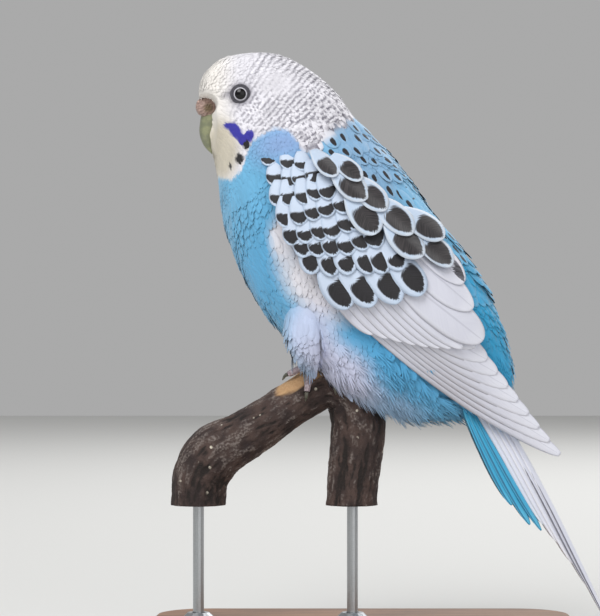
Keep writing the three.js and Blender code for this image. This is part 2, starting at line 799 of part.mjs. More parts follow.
// The right wing is the left one mirrored.
function addWings() {
  const tiers = [
    { name: "primaries", build: primaries, color: WING_WHITE },
    { name: "secondaries", build: secondaries, color: WING_WHITE },
    { name: "coverts", build: coverts, color: WING_BLACK },
    { name: "scapulars", build: scapulars, color: WING_BLACK },
  ];
  for (const { name, build, color } of tiers) {
    const tier = cutBy(build(wingPlace(DROP[name])), bodyCutter);
    addNode(`wing_left_${name}`, tier, color);
    addNode(`wing_right_${name}`, tier, color, { mirrored: true });
  }
}

function addTail() {
  addNode("tail", cutBy(tail(), bodyCutter), WING_WHITE);
}

function addLegs() {
  for (const { word, side } of SIDES) {
    const footCutter = foot(side, GAP);
    addNode(`thigh_${word}`, cutBy(thigh(side), bodyCutter, perchCutter, footCutter), BONE_WHITE);
    addNode(`foot_${word}`, largest(foot(side)), SKIN, { roughness: 0.6 });
    for (const one of TOES) {
      addNode(`claw_${word}_${one.name}`, cutBy(claw(side, one), footCutter), 0x2e2a2a, { roughness: 0.4 });
    }
  }
}

function addPerch() {
  const whole = branch();
  const [elbowCut, forkCut] = [-36, -8.5];
  const lengths = [
    { name: "perch_left_limb", low: -Infinity, high: elbowCut },
    { name: "perch_limb", low: elbowCut, high: forkCut },
    { name: "perch_right_limb", low: forkCut, high: Infinity },
  ];
  for (const { name, low, high } of lengths) {
    let piece = whole;
    if (low > -Infinity) piece = piece.trimByPlane([1, 0, 0], low + GAP / 2);
    if (high < Infinity) piece = piece.trimByPlane([-1, 0, 0], -(high - GAP / 2));
    addNode(name, largest(piece), BARK, { roughness: 0.9 });
  }
}

function addStand() {
  addNode("stand_base", standBase(), 0x3a2a20, { roughness: 0.5 });
  const rods = [
    { word: "left", x: BRANCH[1].at[0] },
    { word: "right", x: BRANCH[11].at[0] },
  ];
  for (const { word, x } of rods) {
    addNode(`stand_rod_${word}`, standRod(x), STEEL, { roughness: 0.3, metalness: 1 });
    addNode(`stand_collar_${word}`, standCollar(x), STEEL, { roughness: 0.3, metalness: 1 });
  }
}

addBody();
addHeadPieces();
addWings();
addTail();
addLegs();
addPerch();
addStand();

export default object;
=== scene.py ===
# %% [markdown]
# A budgerigar on a cut branch
#
# This notebook dresses the solids of a life-size budgerigar, as a museum model maker would:
# a smooth skin over the body, a coat of small feathers over the skin, larger wing and tail
# feathers set one by one, and then the eye, cere, bill, feet, branch and stand. Every length
# below is in millimetres, as it is measured on the bird, and is turned to metres last.

# %% Load the frame
import functools
import math

import bmesh
import bpy
import numpy as np
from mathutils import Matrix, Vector, noise


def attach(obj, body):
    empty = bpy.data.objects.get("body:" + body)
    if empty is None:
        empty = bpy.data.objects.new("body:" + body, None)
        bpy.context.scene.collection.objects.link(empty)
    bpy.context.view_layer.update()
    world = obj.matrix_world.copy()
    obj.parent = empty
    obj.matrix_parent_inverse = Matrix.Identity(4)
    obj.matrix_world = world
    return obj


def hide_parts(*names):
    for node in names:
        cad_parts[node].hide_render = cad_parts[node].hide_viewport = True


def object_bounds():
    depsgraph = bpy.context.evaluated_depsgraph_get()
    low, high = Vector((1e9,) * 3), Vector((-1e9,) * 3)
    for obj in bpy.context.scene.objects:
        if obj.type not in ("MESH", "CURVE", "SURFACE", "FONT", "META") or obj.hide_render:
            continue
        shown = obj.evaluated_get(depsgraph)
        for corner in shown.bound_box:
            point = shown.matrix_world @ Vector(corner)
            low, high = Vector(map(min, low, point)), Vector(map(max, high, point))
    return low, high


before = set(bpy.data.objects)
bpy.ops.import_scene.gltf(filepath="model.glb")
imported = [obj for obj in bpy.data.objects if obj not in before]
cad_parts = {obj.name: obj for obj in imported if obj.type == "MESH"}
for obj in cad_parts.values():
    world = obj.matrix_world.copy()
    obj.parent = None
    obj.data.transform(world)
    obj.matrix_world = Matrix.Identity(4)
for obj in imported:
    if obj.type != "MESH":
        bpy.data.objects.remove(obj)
cad_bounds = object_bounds()
MM = 0.001
print("CAD box", cad_bounds)

# %% [markdown]
# Small helpers. Colours are named by their sRGB hex value, as a paint chart gives them, and one
# function turns them to the linear light that Blender mixes. One more function adds any shader
# or geometry node, so that each material below reads as a short list of nodes and links.

# %% Helpers for colours and nodes
MODES = ("operation", "interpolation_type", "data_type", "distribute_method")


def linear(code):
    """An sRGB hex colour such as "#6db9e0" as three linear numbers."""
    parts = [int(code[i : i + 2], 16) / 255 for i in (1, 3, 5)]
    return np.array([c / 12.92 if c <= 0.04045 else ((c + 0.055) / 1.055) ** 2.4 for c in parts])


def add(tree, kind, *values, named=None, out=None, **settings):
    """Adds a node such as "Math ADD", whose second word is its mode, and gives one output.

    Values go to the live inputs in order, or to named ones: numbers, hex colours or sockets.
    """
    kind, _, mode = kind.partition(" ")
    node = tree.nodes.new(kind if "Node" in kind else "ShaderNode" + kind)
    if mode:
        settings[next(name for name in MODES if hasattr(node, name))] = mode
    for name, value in settings.items():
        setattr(node, name, value)
    pairs = list(zip([socket for socket in node.inputs if socket.enabled], values))
    pairs += [(node.inputs[key], value) for key, value in (named or {}).items()]
    for socket, value in pairs:
        if isinstance(value, bpy.types.NodeSocket):
            tree.links.new(value, socket)
        elif isinstance(value, str) and value.startswith("#"):
            socket.default_value = (*linear(value), 1)
        else:
            socket.default_value = value
    if out is not None:
        return node.outputs[out]
    return next((socket for socket in node.outputs if socket.enabled), None)


def finish(name, build, bump=None, **surface):
    """A material. build gives its colour, and its relief too where bump is (strength, depth)."""
    material = bpy.data.materials.new(name)
    material.use_nodes = True
    tree = material.node_tree
    shader = tree.nodes["Principled BSDF"]
    for key, value in surface.items():
        shader.inputs[key.replace("_", " ").title().replace("Ior ", "IOR ")].default_value = value
    made = build(functools.partial(add, tree))
    colour, height = made if bump else (made, None)
    tree.links.new(colour, shader.inputs["Base Color"])
    if bump:
        relief = {"Strength": bump[0], "Distance": bump[1] * MM, "Height": height}
        tree.links.new(add(tree, "Bump", named=relief), shader.inputs["Normal"])
    return material


def place_on(node, scale=(1.0, 1.0, 1.0)):
    """The place on a piece in millimetres, stretched by scale."""
    return node("VectorMath MULTIPLY", node("TexCoord", out="Object"), tuple(s / MM for s in scale))


def off_axis(node, x, z):
    """How many millimetres a place lies from the line across the bird at x and z."""
    parts = node("SeparateXYZ", place_on(node)).node.outputs
    dx, dz = (node("Math SUBTRACT", parts[axis], at) for axis, at in ((0, x), (2, z)))
    return node("Math SQRT", node("Math MULTIPLY_ADD", dx, dx, node("Math MULTIPLY", dz, dz)))


# %% Helpers for meshes
def linked(name, mesh):
    piece = bpy.data.objects.new(name, mesh)
    bpy.context.scene.collection.objects.link(piece)
    return piece


def mesh_object(name, points, faces, *materials, smooth=True):
    """A mesh object from points in millimetres."""
    mesh = bpy.data.meshes.new(name)
    mesh.from_pydata((np.asarray(points) * MM).tolist(), [], faces)
    mesh.validate()
    mesh.update()
    if smooth:
        mesh.shade_smooth()
    for material in materials:
        mesh.materials.append(material)
    return linked(name, mesh)


def turned_out(piece):
    """Merges doubles and points every face outwards."""
    work = bmesh.new()
    work.from_mesh(piece.data)
    bmesh.ops.remove_doubles(work, verts=work.verts, dist=1e-7)
    bmesh.ops.recalc_face_normals(work, faces=work.faces)
    work.to_mesh(piece.data)
    work.free()
    return piece


def on_frame(piece, slot, *nodes):
    """Rides a piece on the one body, and lets it stand for the CAD nodes named."""
    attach(piece, "root")
    if nodes:
        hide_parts(*nodes)
    print(f"{piece.name}: {len(piece.data.polygons)} faces")


def ring_faces(rings, sides, start=0, closed=False):
    """Quads between rings of points. Where it is closed, the last ring joins the first."""
    firsts = [start + i * sides for i in range(rings)]
    turns = [(j, (j + 1) % sides) for j in range(sides)]
    pairs = zip(firsts, firsts[1:] + firsts[:1] * closed)
    return [(a + j, a + k, b + k, b + j) for a, b in pairs for j, k in turns]


def tube_faces(rings, sides, start=0):
    """Quads between rings, and one polygon at each end."""
    last = start + (rings - 1) * sides
    ends = [tuple(reversed(range(start, start + sides))), tuple(range(last, last + sides))]
    return ring_faces(rings, sides, start) + ends


def store(mesh, name, values, domain="POINT"):
    """Stores numbers or vectors on a mesh, in place of any of that name."""
    if name in mesh.attributes:
        mesh.attributes.remove(mesh.attributes[name])
    values = np.asarray(values, np.float32)
    kind, field = ("FLOAT", "value") if values.ndim == 1 else ("FLOAT_VECTOR", "vector")
    mesh.attributes.new(name, kind, domain).data.foreach_set(field, values.ravel())


def numbers_of(mesh, name, width=1):
    """The numbers or vectors that a mesh stores under a name."""
    layer = mesh.attributes[name]
    flat = np.empty(len(layer.data) * width, np.float32)
    layer.data.foreach_get("vector" if width == 3 else "value", flat)
    return flat.reshape(-1, 3) if width == 3 else flat


# %% Helpers for numbers
def circle(count):
    return np.linspace(0, 2 * math.pi, count, endpoint=False)


def unit(vectors):
    """Vectors made one long."""
    return vectors / np.maximum(np.linalg.norm(vectors, axis=-1, keepdims=True), 1e-9)


def smoothstep(low, high, value):
    t = np.clip((value - low) / (high - low), 0, 1)
    return t * t * (3 - 2 * t)


def ripple(points, size, seed):
    """A soft wavy value from -1 to 1 over points, with bumps about size millimetres apart."""
    draw = np.random.default_rng(seed)
    total = np.zeros(len(points))
    for _ in range(5):
        way = draw.normal(size=3)
        way /= np.linalg.norm(way)
        pitch = 2 * math.pi / size
        total += np.sin(points @ way * pitch * draw.uniform(0.6, 1.5) + draw.uniform(0, 7))
    return total / 2.6


def eased(rows, place, column):
    """A smooth value of a table of [place, value, ...] rows, for an array of places."""
    rows = np.asarray(rows, float)
    x, y = rows[:, 0], rows[:, column]
    place = np.clip(place, x[0], x[-1])
    i = np.clip(np.searchsorted(x, place, side="right") - 1, 0, len(x) - 2)
    low, high = np.maximum(np.arange(len(x)) - 1, 0), np.minimum(np.arange(len(x)) + 1, len(x) - 1)
    slope = (y[high] - y[low]) / (x[high] - x[low])
    span = x[i + 1] - x[i]
    t = (place - x[i]) / span
    ends = y[i] * (2 * t**3 - 3 * t**2 + 1) + y[i + 1] * (3 * t**2 - 2 * t**3)
    return ends + span * (slope[i] * (t**3 - 2 * t**2 + t) + slope[i + 1] * (t**3 - t**2))


def bend(p1, p2, t0, t1, w):
    """A cubic from p1 to p2 that leaves along t0 and arrives along t1."""
    cubic, square = 2 * p1 - 2 * p2 + t0 + t1, -3 * p1 + 3 * p2 - 2 * t0 - t1
    return cubic * w**3 + square * w**2 + t0 * w + p1


def four_rows(rows, u):
    """The four rows round each place u counted in rows, and how far on it is between two."""
    u = np.clip(np.asarray(u, float), 0, len(rows) - 1 - 1e-9)
    i = u.astype(int)
    more = np.vstack([2 * rows[0] - rows[1], rows, 2 * rows[-1] - rows[-2]])
    return more, i, (u - i)[..., None]


# %% [markdown]
# The camera stands level with the bird's breast and square to its left side. At 700 mm and with
# a 151 mm lens, one millimetre of bird is 3.7 pixels. The light is a plain soft box above and to
# the left, with a broad fill and a third lamp behind, since the crown and back are lit most.

# %% Camera, light and floor
VIEW = {"x": -17.57, "z": 91.5, "away": 700.0, "lens": 151.36}
LIGHTS = [
    # name; place and size in metres; watts
    ("key", (-0.35, -0.75, 0.95), 0.7, 9.5),
    ("fill", (0.5, -1.1, 0.35), 1.2, 4),
    ("back", (0.3, 0.7, 0.8), 0.8, 7),
]
AIM = Vector((0, 0, 0.1))
FLOOR = 1500

camera_data = bpy.data.cameras.new("camera")
camera_data.lens = VIEW["lens"]
camera_data.sensor_width = 36
camera_data.clip_end = 20
camera = linked("camera", camera_data)
camera.location = (VIEW["x"] * MM, -VIEW["away"] * MM, VIEW["z"] * MM)
camera.rotation_euler = (math.pi / 2, 0, 0)
bpy.context.scene.camera = camera

for name, at, size, watts in LIGHTS:
    lamp = bpy.data.lights.new(name, "AREA")
    lamp.size, lamp.energy = size, watts
    holder = linked(name, lamp)
    holder.location = at
    holder.rotation_euler = (AIM - holder.location).to_track_quat("-Z", "Y").to_euler()

world = bpy.data.worlds.new("room")
world.use_nodes = True
world.node_tree.nodes["Background"].inputs["Color"].default_value = (*linear("#dcdcdc"), 1)
world.node_tree.nodes["Background"].inputs["Strength"].default_value = 0.56
bpy.context.scene.world = world
bpy.context.scene.view_settings.view_transform = "Standard"


def paper(node):
    return node("Mix RGBA", node("TexNoise", named={"Scale": 3.0}), "#cfcfcd", "#d6d6d4")


corners = [(-FLOOR, -FLOOR, 0), (FLOOR, -FLOOR, 0), (FLOOR, FLOOR, 0), (-FLOOR, FLOOR, 0)]
paper_finish = finish("pale_matte_paper", paper, roughness=0.9)
mesh_object("floor", corners, [(0, 1, 2, 3)], paper_finish, smooth=False)

# %% [markdown]
# The body's skin. A bird's body under its feathers is one smooth egg that runs from the bill's
# root to the tail's. It could be sculpted, but it is also easy to say in numbers: each row below
# gives a point of the back's line, one of the breast's line and half the width between, as on
# the solids. The skin is lofted through them a coat's depth lower, so that the feathers set on
# it end at the true outline.

# %% Body stations and the surface through them
COAT = 0.6
BODY = np.array(
    [
        # back x, z; front x, z; half width; squareness of the breast side
        [-45.0, 147.6, -45.0, 147.6, 0.0, 2.0],  # face
        [-44.7, 151.9, -43.4, 142.9, 6.4, 2.0],  # brow
        [-43.0, 155.6, -42.5, 140.1, 9.2, 2.0],  # forehead
        [-38.5, 159.1, -42.0, 137.2, 11.2, 2.1],  # crown
        [-31.0, 160.7, -41.4, 134.0, 12.4, 2.1],  # eye
        [-23.0, 159.9, -40.7, 130.6, 13.6, 2.1],  # poll
        [-15.4, 156.6, -40.0, 126.0, 15.0, 2.1],  # nape
        [-8.7, 151.0, -39.3, 119.6, 16.6, 2.1],  # neck
        [-1.9, 142.6, -37.6, 111.5, 18.2, 2.1],  # shoulder
        [8.1, 131.5, -33.6, 101.0, 18.8, 2.1],  # breast
        [17.6, 118.8, -27.6, 90.4, 18.8, 2.3],  # back
        [26.2, 107.2, -17.2, 79.6, 17.8, 2.8],  # flank
        [33.8, 94.5, -6.0, 69.6, 16.0, 3.2],  # belly
        [38.1, 82.9, 7.3, 63.6, 11.0, 2.8],  # vent
        [39.6, 75.0, 20.3, 63.4, 7.0, 2.2],  # rump
        [36.6, 64.5, 36.6, 64.5, 0.0, 2.0],  # end
    ]
)
LAST = len(BODY) - 1


def body_point(u, angle, grow):
    """The body's surface at places u counted in stations. Angle 0 is the back, pi the breast."""
    rows, i, w = four_rows(BODY, u)
    t0, t1 = 0.5 * (rows[i + 2] - rows[i]), 0.5 * (rows[i + 3] - rows[i + 1])
    row = bend(rows[i + 1], rows[i + 2], t0, t1, w)
    middle = (row[..., [0, 1]] + row[..., [2, 3]]) / 2
    arm = (row[..., [0, 1]] - row[..., [2, 3]]) / 2
    length = np.linalg.norm(arm, axis=-1, keepdims=True)
    arm = arm / np.maximum(length, 1e-6) * np.maximum(length + grow, 0)
    c, s = np.cos(angle), np.sin(angle)
    power = 2 / np.where(c < 0, row[..., 5], 2)
    along = np.sign(c) * np.abs(c) ** power
    side = np.sign(s) * np.abs(s) ** power
    half = np.maximum(row[..., 4] + grow, 0)
    flat = middle + arm * along[..., None]
    return np.stack([flat[..., 0], side * half, flat[..., 1]], axis=-1)


# %% [markdown]
# The branch's line is needed before the skin is made, because the belly settles over it. Its
# points and thicknesses repeat those of the solids: a fork whose two limbs are sawn level.

# %% The branch's line
SAWN = 38.3
BRANCH = np.array(
    [
        # x, y, z, radius
        [-45.3, 0.5, 33.0, 7.6],
        [-45.0, 0.3, 40.0, 7.6],
        [-44.2, 0.0, 46.5, 7.9],
        [-40.6, -0.4, 52.2, 8.0],
        [-33.8, -0.6, 56.4, 7.0],
        [-25.9, -0.4, 61.4, 6.4],
        [-17.6, 0.0, 67.0, 6.2],
        [-10.4, 0.3, 70.7, 6.6],
        [-4.4, 0.6, 68.6, 7.2],
        [-1.9, 0.8, 61.6, 7.7],
        [-2.4, 0.6, 52.0, 7.2],
        [-3.4, 0.2, 43.0, 7.0],
        [-3.8, 0.0, 33.0, 7.3],
    ]
)


def along_curve(rows, t):
    """Points of a centripetal Catmull-Rom curve through rows, for t from 0 to 1."""
    more, i, w = four_rows(rows, np.asarray(t, float) * (len(rows) - 1))
    step = np.linalg.norm(np.diff(more[:, :3], axis=0), axis=1)[:, None] ** 0.5
    p0, p1, p2, p3 = more[i], more[i + 1], more[i + 2], more[i + 3]
    d0, d1, d2 = step[i], step[i + 1], step[i + 2]
    t0 = ((p1 - p0) / d0 - (p2 - p0) / (d0 + d1) + (p2 - p1) / d1) * d1
    t1 = ((p2 - p1) / d1 - (p3 - p1) / (d1 + d2) + (p3 - p2) / d2) * d1
    return bend(p1, p2, t0, t1, w)


branch_line = along_curve(BRANCH, np.linspace(0, 1, 241))


def off_branch(points, room):
    """Moves points that lie within room of the branch's bark straight out from it."""
    points = points.copy()
    away = points[:, None, :] - branch_line[None, :, :3]
    span = np.linalg.norm(away, axis=2)
    depth = span - branch_line[None, :, 3]
    k = depth.argmin(axis=1)
    every = np.arange(len(points))
    near = depth[every, k] < room
    push = away[every, k] / span[every, k][:, None]
    target = branch_line[k, :3] + push * (branch_line[k, 3] + room)[:, None]
    points[near] = target[near]
    return points


# %% [markdown]
# The skin itself is a fine grid of rings. It is drawn in a little round the eye, filled at the
# cheek, and narrowed at the cere and bill so that both stand free of it.

# %% Skin grid
RINGS, SIDES = 190, 128
EYE = {"x": -33.4, "y": 10.9, "z": 148.3, "r": 2.45}
ROOM_ON_BRANCH = 0.9

grid_u, grid_angle = np.meshgrid(
    np.linspace(0.04, LAST - 0.04, RINGS), circle(SIDES), indexing="ij"
)


def shaped(points):
    """The eye's hollow, the full cheek, the narrow face and the groove over the branch."""
    points = points.copy()
    x, y, z = points.T
    from_eye = np.hypot(x - EYE["x"], z - EYE["z"])
    hollow = 0.55 * np.exp(-((from_eye / 3.0) ** 2))
    cheek = 0.7 * np.exp(-(((x + 34) / 7) ** 2) - ((z - 138) / 6) ** 2)
    points[:, 1] += np.sign(y) * np.abs(y) / 12 * (cheek - hollow)
    by_cere = np.hypot((x + 43.2) / 3.4, (z - 145.6) / 2.9)
    by_bill = np.hypot((x + 43.0) / 2.4, (z - 140.5) / 5.5)
    slim = np.maximum(1 - smoothstep(0.85, 1.15, by_cere), 1 - smoothstep(0.8, 1.5, by_bill))
    kept = np.minimum(np.abs(points[:, 1]), 1.8 + 0.08 * np.abs(points[:, 1]))
    points[:, 1] += slim * (np.sign(y) * kept - points[:, 1])
    return off_branch(points, ROOM_ON_BRANCH)


skin_points = shaped(body_point(grid_u, grid_angle, -COAT).reshape(-1, 3))
on_grid = slice(0, RINGS * SIDES)
head_end, tail_end = len(skin_points), len(skin_points) + 1
tips = [skin_points[:SIDES].mean(axis=0), skin_points[-SIDES:].mean(axis=0)]
skin_points = np.vstack([skin_points, *tips])
body_count = len(skin_points)

skin_faces = [(a, d, c, b) for a, b, c, d in ring_faces(RINGS, SIDES)]
last_ring = (RINGS - 1) * SIDES
for j in range(SIDES):
    k = (j + 1) % SIDES
    skin_faces += [(head_end, j, k), (last_ring + k, last_ring + j, tail_end)]

# %% [markdown]
# Feathers on the thighs hide where leg and belly meet. A thigh is a short cone that is sunk in
# the belly, on the same line as its solid.

# %% Thighs join the skin
THIGH = [[-17, 8.2, 95], [-16, 10.6, 89.5], [-15.4, 10.8, 84.5], [-14.8, 9.2, 81], [-14.4, 7.8, 78.4]]
THIGH_RADII = [3.6, 5.5, 4.8, 2.8, 1.4]
THIGH_RINGS, THIGH_SIDES = 18, 28


def hoops(rows, across):
    """For each row of a curve, its middle and two directions square to the curve."""
    ahead = unit(np.gradient(rows[:, :3], axis=0))
    for centre, way in zip(rows[:, :3], ahead):
        across = unit(across - way * (across @ way))
        yield centre, across, np.cross(way, across)


def tube_points(path, radii, rings, sides):
    """Rings of points round a smooth path."""
    rows = along_curve(np.column_stack([path, radii]), np.linspace(0, 1, rings))
    way = unit(rows[1, :3] - rows[0, :3])
    across = np.cross(way, [0, 0, 1.0] if abs(way[2]) < 0.9 else [1.0, 0, 0])
    c, s = np.cos(circle(sides))[:, None], np.sin(circle(sides))[:, None]
    turned = zip(hoops(rows, across), rows[:, 3])
    return np.vstack([centre + radius * (c * one + s * two) for (centre, one, two), radius in turned])


for side in (-1, 1):
    path = [[x, side * y, z] for x, y, z in THIGH]
    skin_faces += tube_faces(THIGH_RINGS, THIGH_SIDES, len(skin_points))
    thigh = tube_points(path, THIGH_RADII, THIGH_RINGS, THIGH_SIDES)
    skin_points = np.vstack([skin_points, thigh])
print("skin points", len(skin_points), "of them on the thighs", len(skin_points) - body_count)

# %% [markdown]
# The wing lies over the body's side. Its feathers are placed on a shell of their own, measured
# along the wing from the wrist and across it towards the back. The skin needs to know where the
# wing will be, because hardly any small feathers grow under it.

# %% The folded wing's shell
WRIST = np.array([-24.0, 126.0])
ALONG, ACROSS = np.array([0.7257, -0.688]), np.array([0.688, 0.7257])
SHELL = [
    # along; half width, middle, reach above and below
    [-8, 13.5, -1.5, 27, 25],
    [0, 16.8, -1.5, 27.5, 25],
    [8, 18.5, -1.5, 28, 25],
    [16, 19.1, -1.5, 28.3, 26],
    [24, 19.3, -1.5, 27, 29],
    [32, 19.2, -1.5, 25.5, 32],
    [40, 18.8, -1.5, 23.7, 34],
    [48, 18.0, -2.0, 22.9, 36],
    [56, 16.9, -2.3, 21.3, 32],
    [64, 15.0, -2.5, 19.6, 24],
    [72, 12.4, -2.5, 15.8, 18],
    [80, 10.0, -2.5, 15, 15],
    [96, 7.0, -2.0, 14, 14],
    [110, 5.2, -1.5, 13, 13],
]
SETTLE = (8, 14)


def wing_bare(a, b):
    half, middle, above, below = (eased(SHELL, a, column) for column in (1, 2, 3, 4))
    r = np.clip((b - middle) / np.where(b > middle, above, below), -0.97, 0.97)
    flat = WRIST + a[..., None] * ALONG + b[..., None] * ACROSS
    return np.stack([flat[..., 0], -half * np.sqrt(1 - r * r), flat[..., 1]], axis=-1)


def wing_place(a, b, lift, settle):
    """Points lift millimetres over the left wing's shell, settled towards the back by settle."""
    ahead = wing_bare(a + 0.5, b) - wing_bare(a - 0.5, b)
    up = wing_bare(a, b + 0.5) - wing_bare(a, b - 0.5)
    normal = unit(np.cross(ahead, up))
    normal *= np.where(normal[..., 1:2] > 0, -1, 1)
    return wing_bare(a, b) + normal * (lift - settle * smoothstep(*SETTLE, b))[..., None]


# %% [markdown]
# The markings. A painter works out such a bird in zones: a white barred head, a cream mask with
# violet cheek flashes and black throat spots, a sky-blue breast, paler patches on the flank, a
# lilac wash below and a turquoise rump. Each zone is a soft ellipse of the bird's side view, and
# the same function paints skin and feathers, so both carry the same markings.

# %% Markings of the body
PAINT = {
    "white": linear("#e4e2e9"),
    "cream": linear("#f3eee8"),
    "mask": linear("#c0b69c"),
    "bar": linear("#6d6a77"),
    "violet": linear("#2f2c9a"),
    "black": linear("#17151a"),
    "periwinkle": linear("#8aaad8"),
    "sky": linear("#6cb2da"),
    "deep": linear("#46a0d2"),
    "turquoise": linear("#2a9ccb"),
    "lilac": linear("#cfcfe6"),
    "mantle": linear("#80abd0"),
    "smudge": linear("#7d7a86"),
}
DEEPS = [
    # paint; share; centre; reach; turn; softness
    ("deep", 0.55, (-27, 104), (9, 18), -20, 0.8),
    ("deep", 0.8, (10, 82), (24, 12), -30, 0.7),
]
PALES = [
    ("periwinkle", 1, (-22.8, 136), (8, 4.6), 15, 0.85),
    ("white", 1, (-23.0, 111.0), (3.0, 5.5), 10, 0.6),
    ("white", 1, (-14.5, 99.5), (11.5, 6.4), -48, 0.5),
    ("lilac", 0.9, (-7.5, 76), (10, 6), -42, 0.6),
    ("lilac", 0.35, (4, 67), (10, 4), -20, 0.6),
    ("lilac", 0.75, (-15.5, 85.5), (6, 8), 0, 0.6),
]
# the lower edge of the white head, from the mask's bottom tip to the nape
COLLAR = np.array(
    [
        *[(-41.5, 127.6), (-36.0, 126.4), (-33.4, 128.6), (-32.0, 132.6), (-30.4, 136.6)],
        *[(-27.6, 138.0), (-24.8, 139.6), (-21.4, 139.3), (-19.4, 137.2), (-18.0, 134.5)],
        *[(-15.6, 133.2), (-13.6, 134.4), (-11.6, 136.8), (-8.9, 139.2), (-4.9, 142.4), (0.0, 145.0)],
    ]
)


def spot(x, z, at, reach, turn=0.0, soft=0.25):
    """1 inside an ellipse of the side view, 0 outside, with a soft edge."""
    c, s = math.cos(math.radians(turn)), math.sin(math.radians(turn))
    dx, dz = x - at[0], z - at[1]
    r = np.hypot((dx * c + dz * s) / reach[0], (dz * c - dx * s) / reach[1])
    return 1 - smoothstep(1 - soft, 1 + soft, r)


def over_collar(x, z):
    """How far points lie over the collar's line."""
    return z - np.interp(x, *COLLAR.T)


def mixed(base, other, share):
    return base + (other - base) * np.asarray(share)[:, None]


def washed(colour, washes, x, z):
    for paint_name, share, *where in washes:
        colour = mixed(colour, PAINT[paint_name], share * spot(x, z, *where))
    return colour


def markings(points, roots):
    """Linear colours for points, where roots are the places that their feathers grow from."""
    x, _, z = ((points + roots) / 2).T
    colour = washed(np.tile(PAINT["sky"], (len(points), 1)), DEEPS, x, z)
    colour = mixed(colour, PAINT["turquoise"], smoothstep(21, 30, x + 0.25 * (z - 90)))
    colour = washed(colour, PALES, x, z)
    mantle = spot(x, z, (-4, 133), (15, 9), -48, 0.5) * smoothstep(-16, -6, x)
    colour = mixed(colour, PAINT["mantle"], mantle)
    head = smoothstep(-0.8, 0.8, over_collar(x, z))
    brow = smoothstep(-33, -41, points[:, 0])
    white = mixed(np.tile(PAINT["white"], (len(points), 1)), PAINT["cream"], brow)
    colour = mixed(colour, white, head)
    mask = spot(x, z, (-38.6, 134.2), (4.4, 7.5), 0, 0.4) * head
    return mixed(colour, PAINT["mask"], 0.75 * mask), head, mask


# %% [markdown]
# The head's dark bars are waves across the way that the feathers lie. Then come the small sharp
# marks: violet flashes, black throat spots and the dusky ring round the eye. They follow whole
# feathers, so they are looked up near each feather's root, which leaves them the ragged edges of
# real plumage.

# %% Bars and small marks
BAR_PITCH = 1.18
MARKS = [
    # paint; centre; reach; turn
    ("violet", (-36.2, 140.0), (1.9, 1.0), -8),
    ("violet", (-35.0, 138.8), (2.3, 1.45), -55),
    ("violet", (-33.4, 136.7), (1.7, 1.2), -60),
    ("violet", (-31.6, 137.6), (1.75, 1.35), 60),
    ("black", (-32.1, 135.4), (1.0, 1.1), 0),
    ("black", (-34.0, 131.9), (1.15, 1.35), 0),
    ("black", (-36.4, 129.9), (0.35, 0.9), 10),
]
MARK_EDGE = 0.22


def bars(points, run):
    """The dark wavy bars of the head, 1 where a bar is. They cross the feathers' lie."""
    x, _, z = points.T
    wave = 0.13 * ripple(points, 5.5, 11) + 0.06 * ripple(points, 2.4, 12)
    bar = 0.5 + 0.5 * np.sin(2 * math.pi * (run / BAR_PITCH + wave))
    reach = smoothstep(-35.5, -29, x + 0.35 * (152 - z))
    reach = reach * smoothstep(135.0, 138.5, z + 0.35 * (x + 26))
    reach = reach * (1 - 0.75 * spot(x, z, (-24, 152), (5, 4), 0, 0.6))
    return smoothstep(0.5, 0.95, bar) * reach


def small_marks(colour, points, roots):
    x, y, z = (roots + 0.45 * (points - roots)).T
    flank = smoothstep(2.5, 5.0, np.abs(y))
    for paint_name, *where in MARKS:
        colour = mixed(colour, PAINT[paint_name], spot(x, z, *where, MARK_EDGE) * flank)
    x, _, z = points.T
    before_eye = 0.75 * spot(x, z, (-36.3, 148.4), (1.9, 1.0), 20, 0.9)
    ring = 0.6 * spot(x, z, (EYE["x"], EYE["z"]), (3.3, 3.3), 0, 0.25)
    return mixed(colour, PAINT["smudge"], np.maximum(before_eye, ring) * flank)


def painted(points, roots, shade, run):
    """Every marking together, with a little shading from feather to feather."""
    colour, head, mask = markings(points, roots)
    x, _, z = points.T
    barred = bars(points, run + 0.08 * (shade - 0.5)) * head * (1 - mask)
    colour = mixed(colour, PAINT["bar"], barred * (0.8 + 0.2 * smoothstep(-28, -10, x)))
    colour = small_marks(colour, points, roots)
    seam = np.exp(-((over_collar(x, z) / 0.4) ** 2))
    colour = mixed(colour, PAINT["smudge"], 0.9 * seam * smoothstep(-18, -15, x))
    soft = 1 + 0.05 * ripple(points, 9.0, 3) + 0.08 * (shade - 0.5)
    return np.clip(colour * soft[:, None], 0, 1)


# %% [markdown]
# Plumage has no gloss of its own but a soft sheen, since light grazes thousands of barbs. The
# coat's colour comes from the painted attribute, and a fine bump of noise stands for barbs too
# thin to model.


# %% Plumage finish
def plumage(node):
    barbs = node("TexNoise", node("TexCoord", out="Object"), 2600.0, 2.0)
    return node("Attribute", attribute_name="tint"), barbs


plumage_finish = finish(
    "contour_feather_plumage",
    plumage,
    (0.25, 0.12),
    roughness=0.78,
    sheen_weight=0.25,
    sheen_roughness=0.5,
)


def paint(mesh, colours):
    """Stores linear colours on a mesh's points as the attribute tint, in place of an older one."""
    if "tint" in mesh.color_attributes:
        mesh.color_attributes.remove(mesh.color_attributes["tint"])
    layer = mesh.color_attributes.new("tint", "FLOAT_COLOR", "POINT")
    layer.data.foreach_set("color", np.column_stack([colours, np.ones(len(colours))]).ravel())


# %% [markdown]
# The skin carries what the coat needs at each place: a flat map, so that each tuft finds its own
# patch of the skin, how far it lies from the bill, the way the feathers lie, how long and wide
# they are, and how densely they stand. A feather tract is mapped in the same way on a real bird.

# %% Skin object with its maps
MAP_STEPS = 600
THIGH_STATION = 12.0

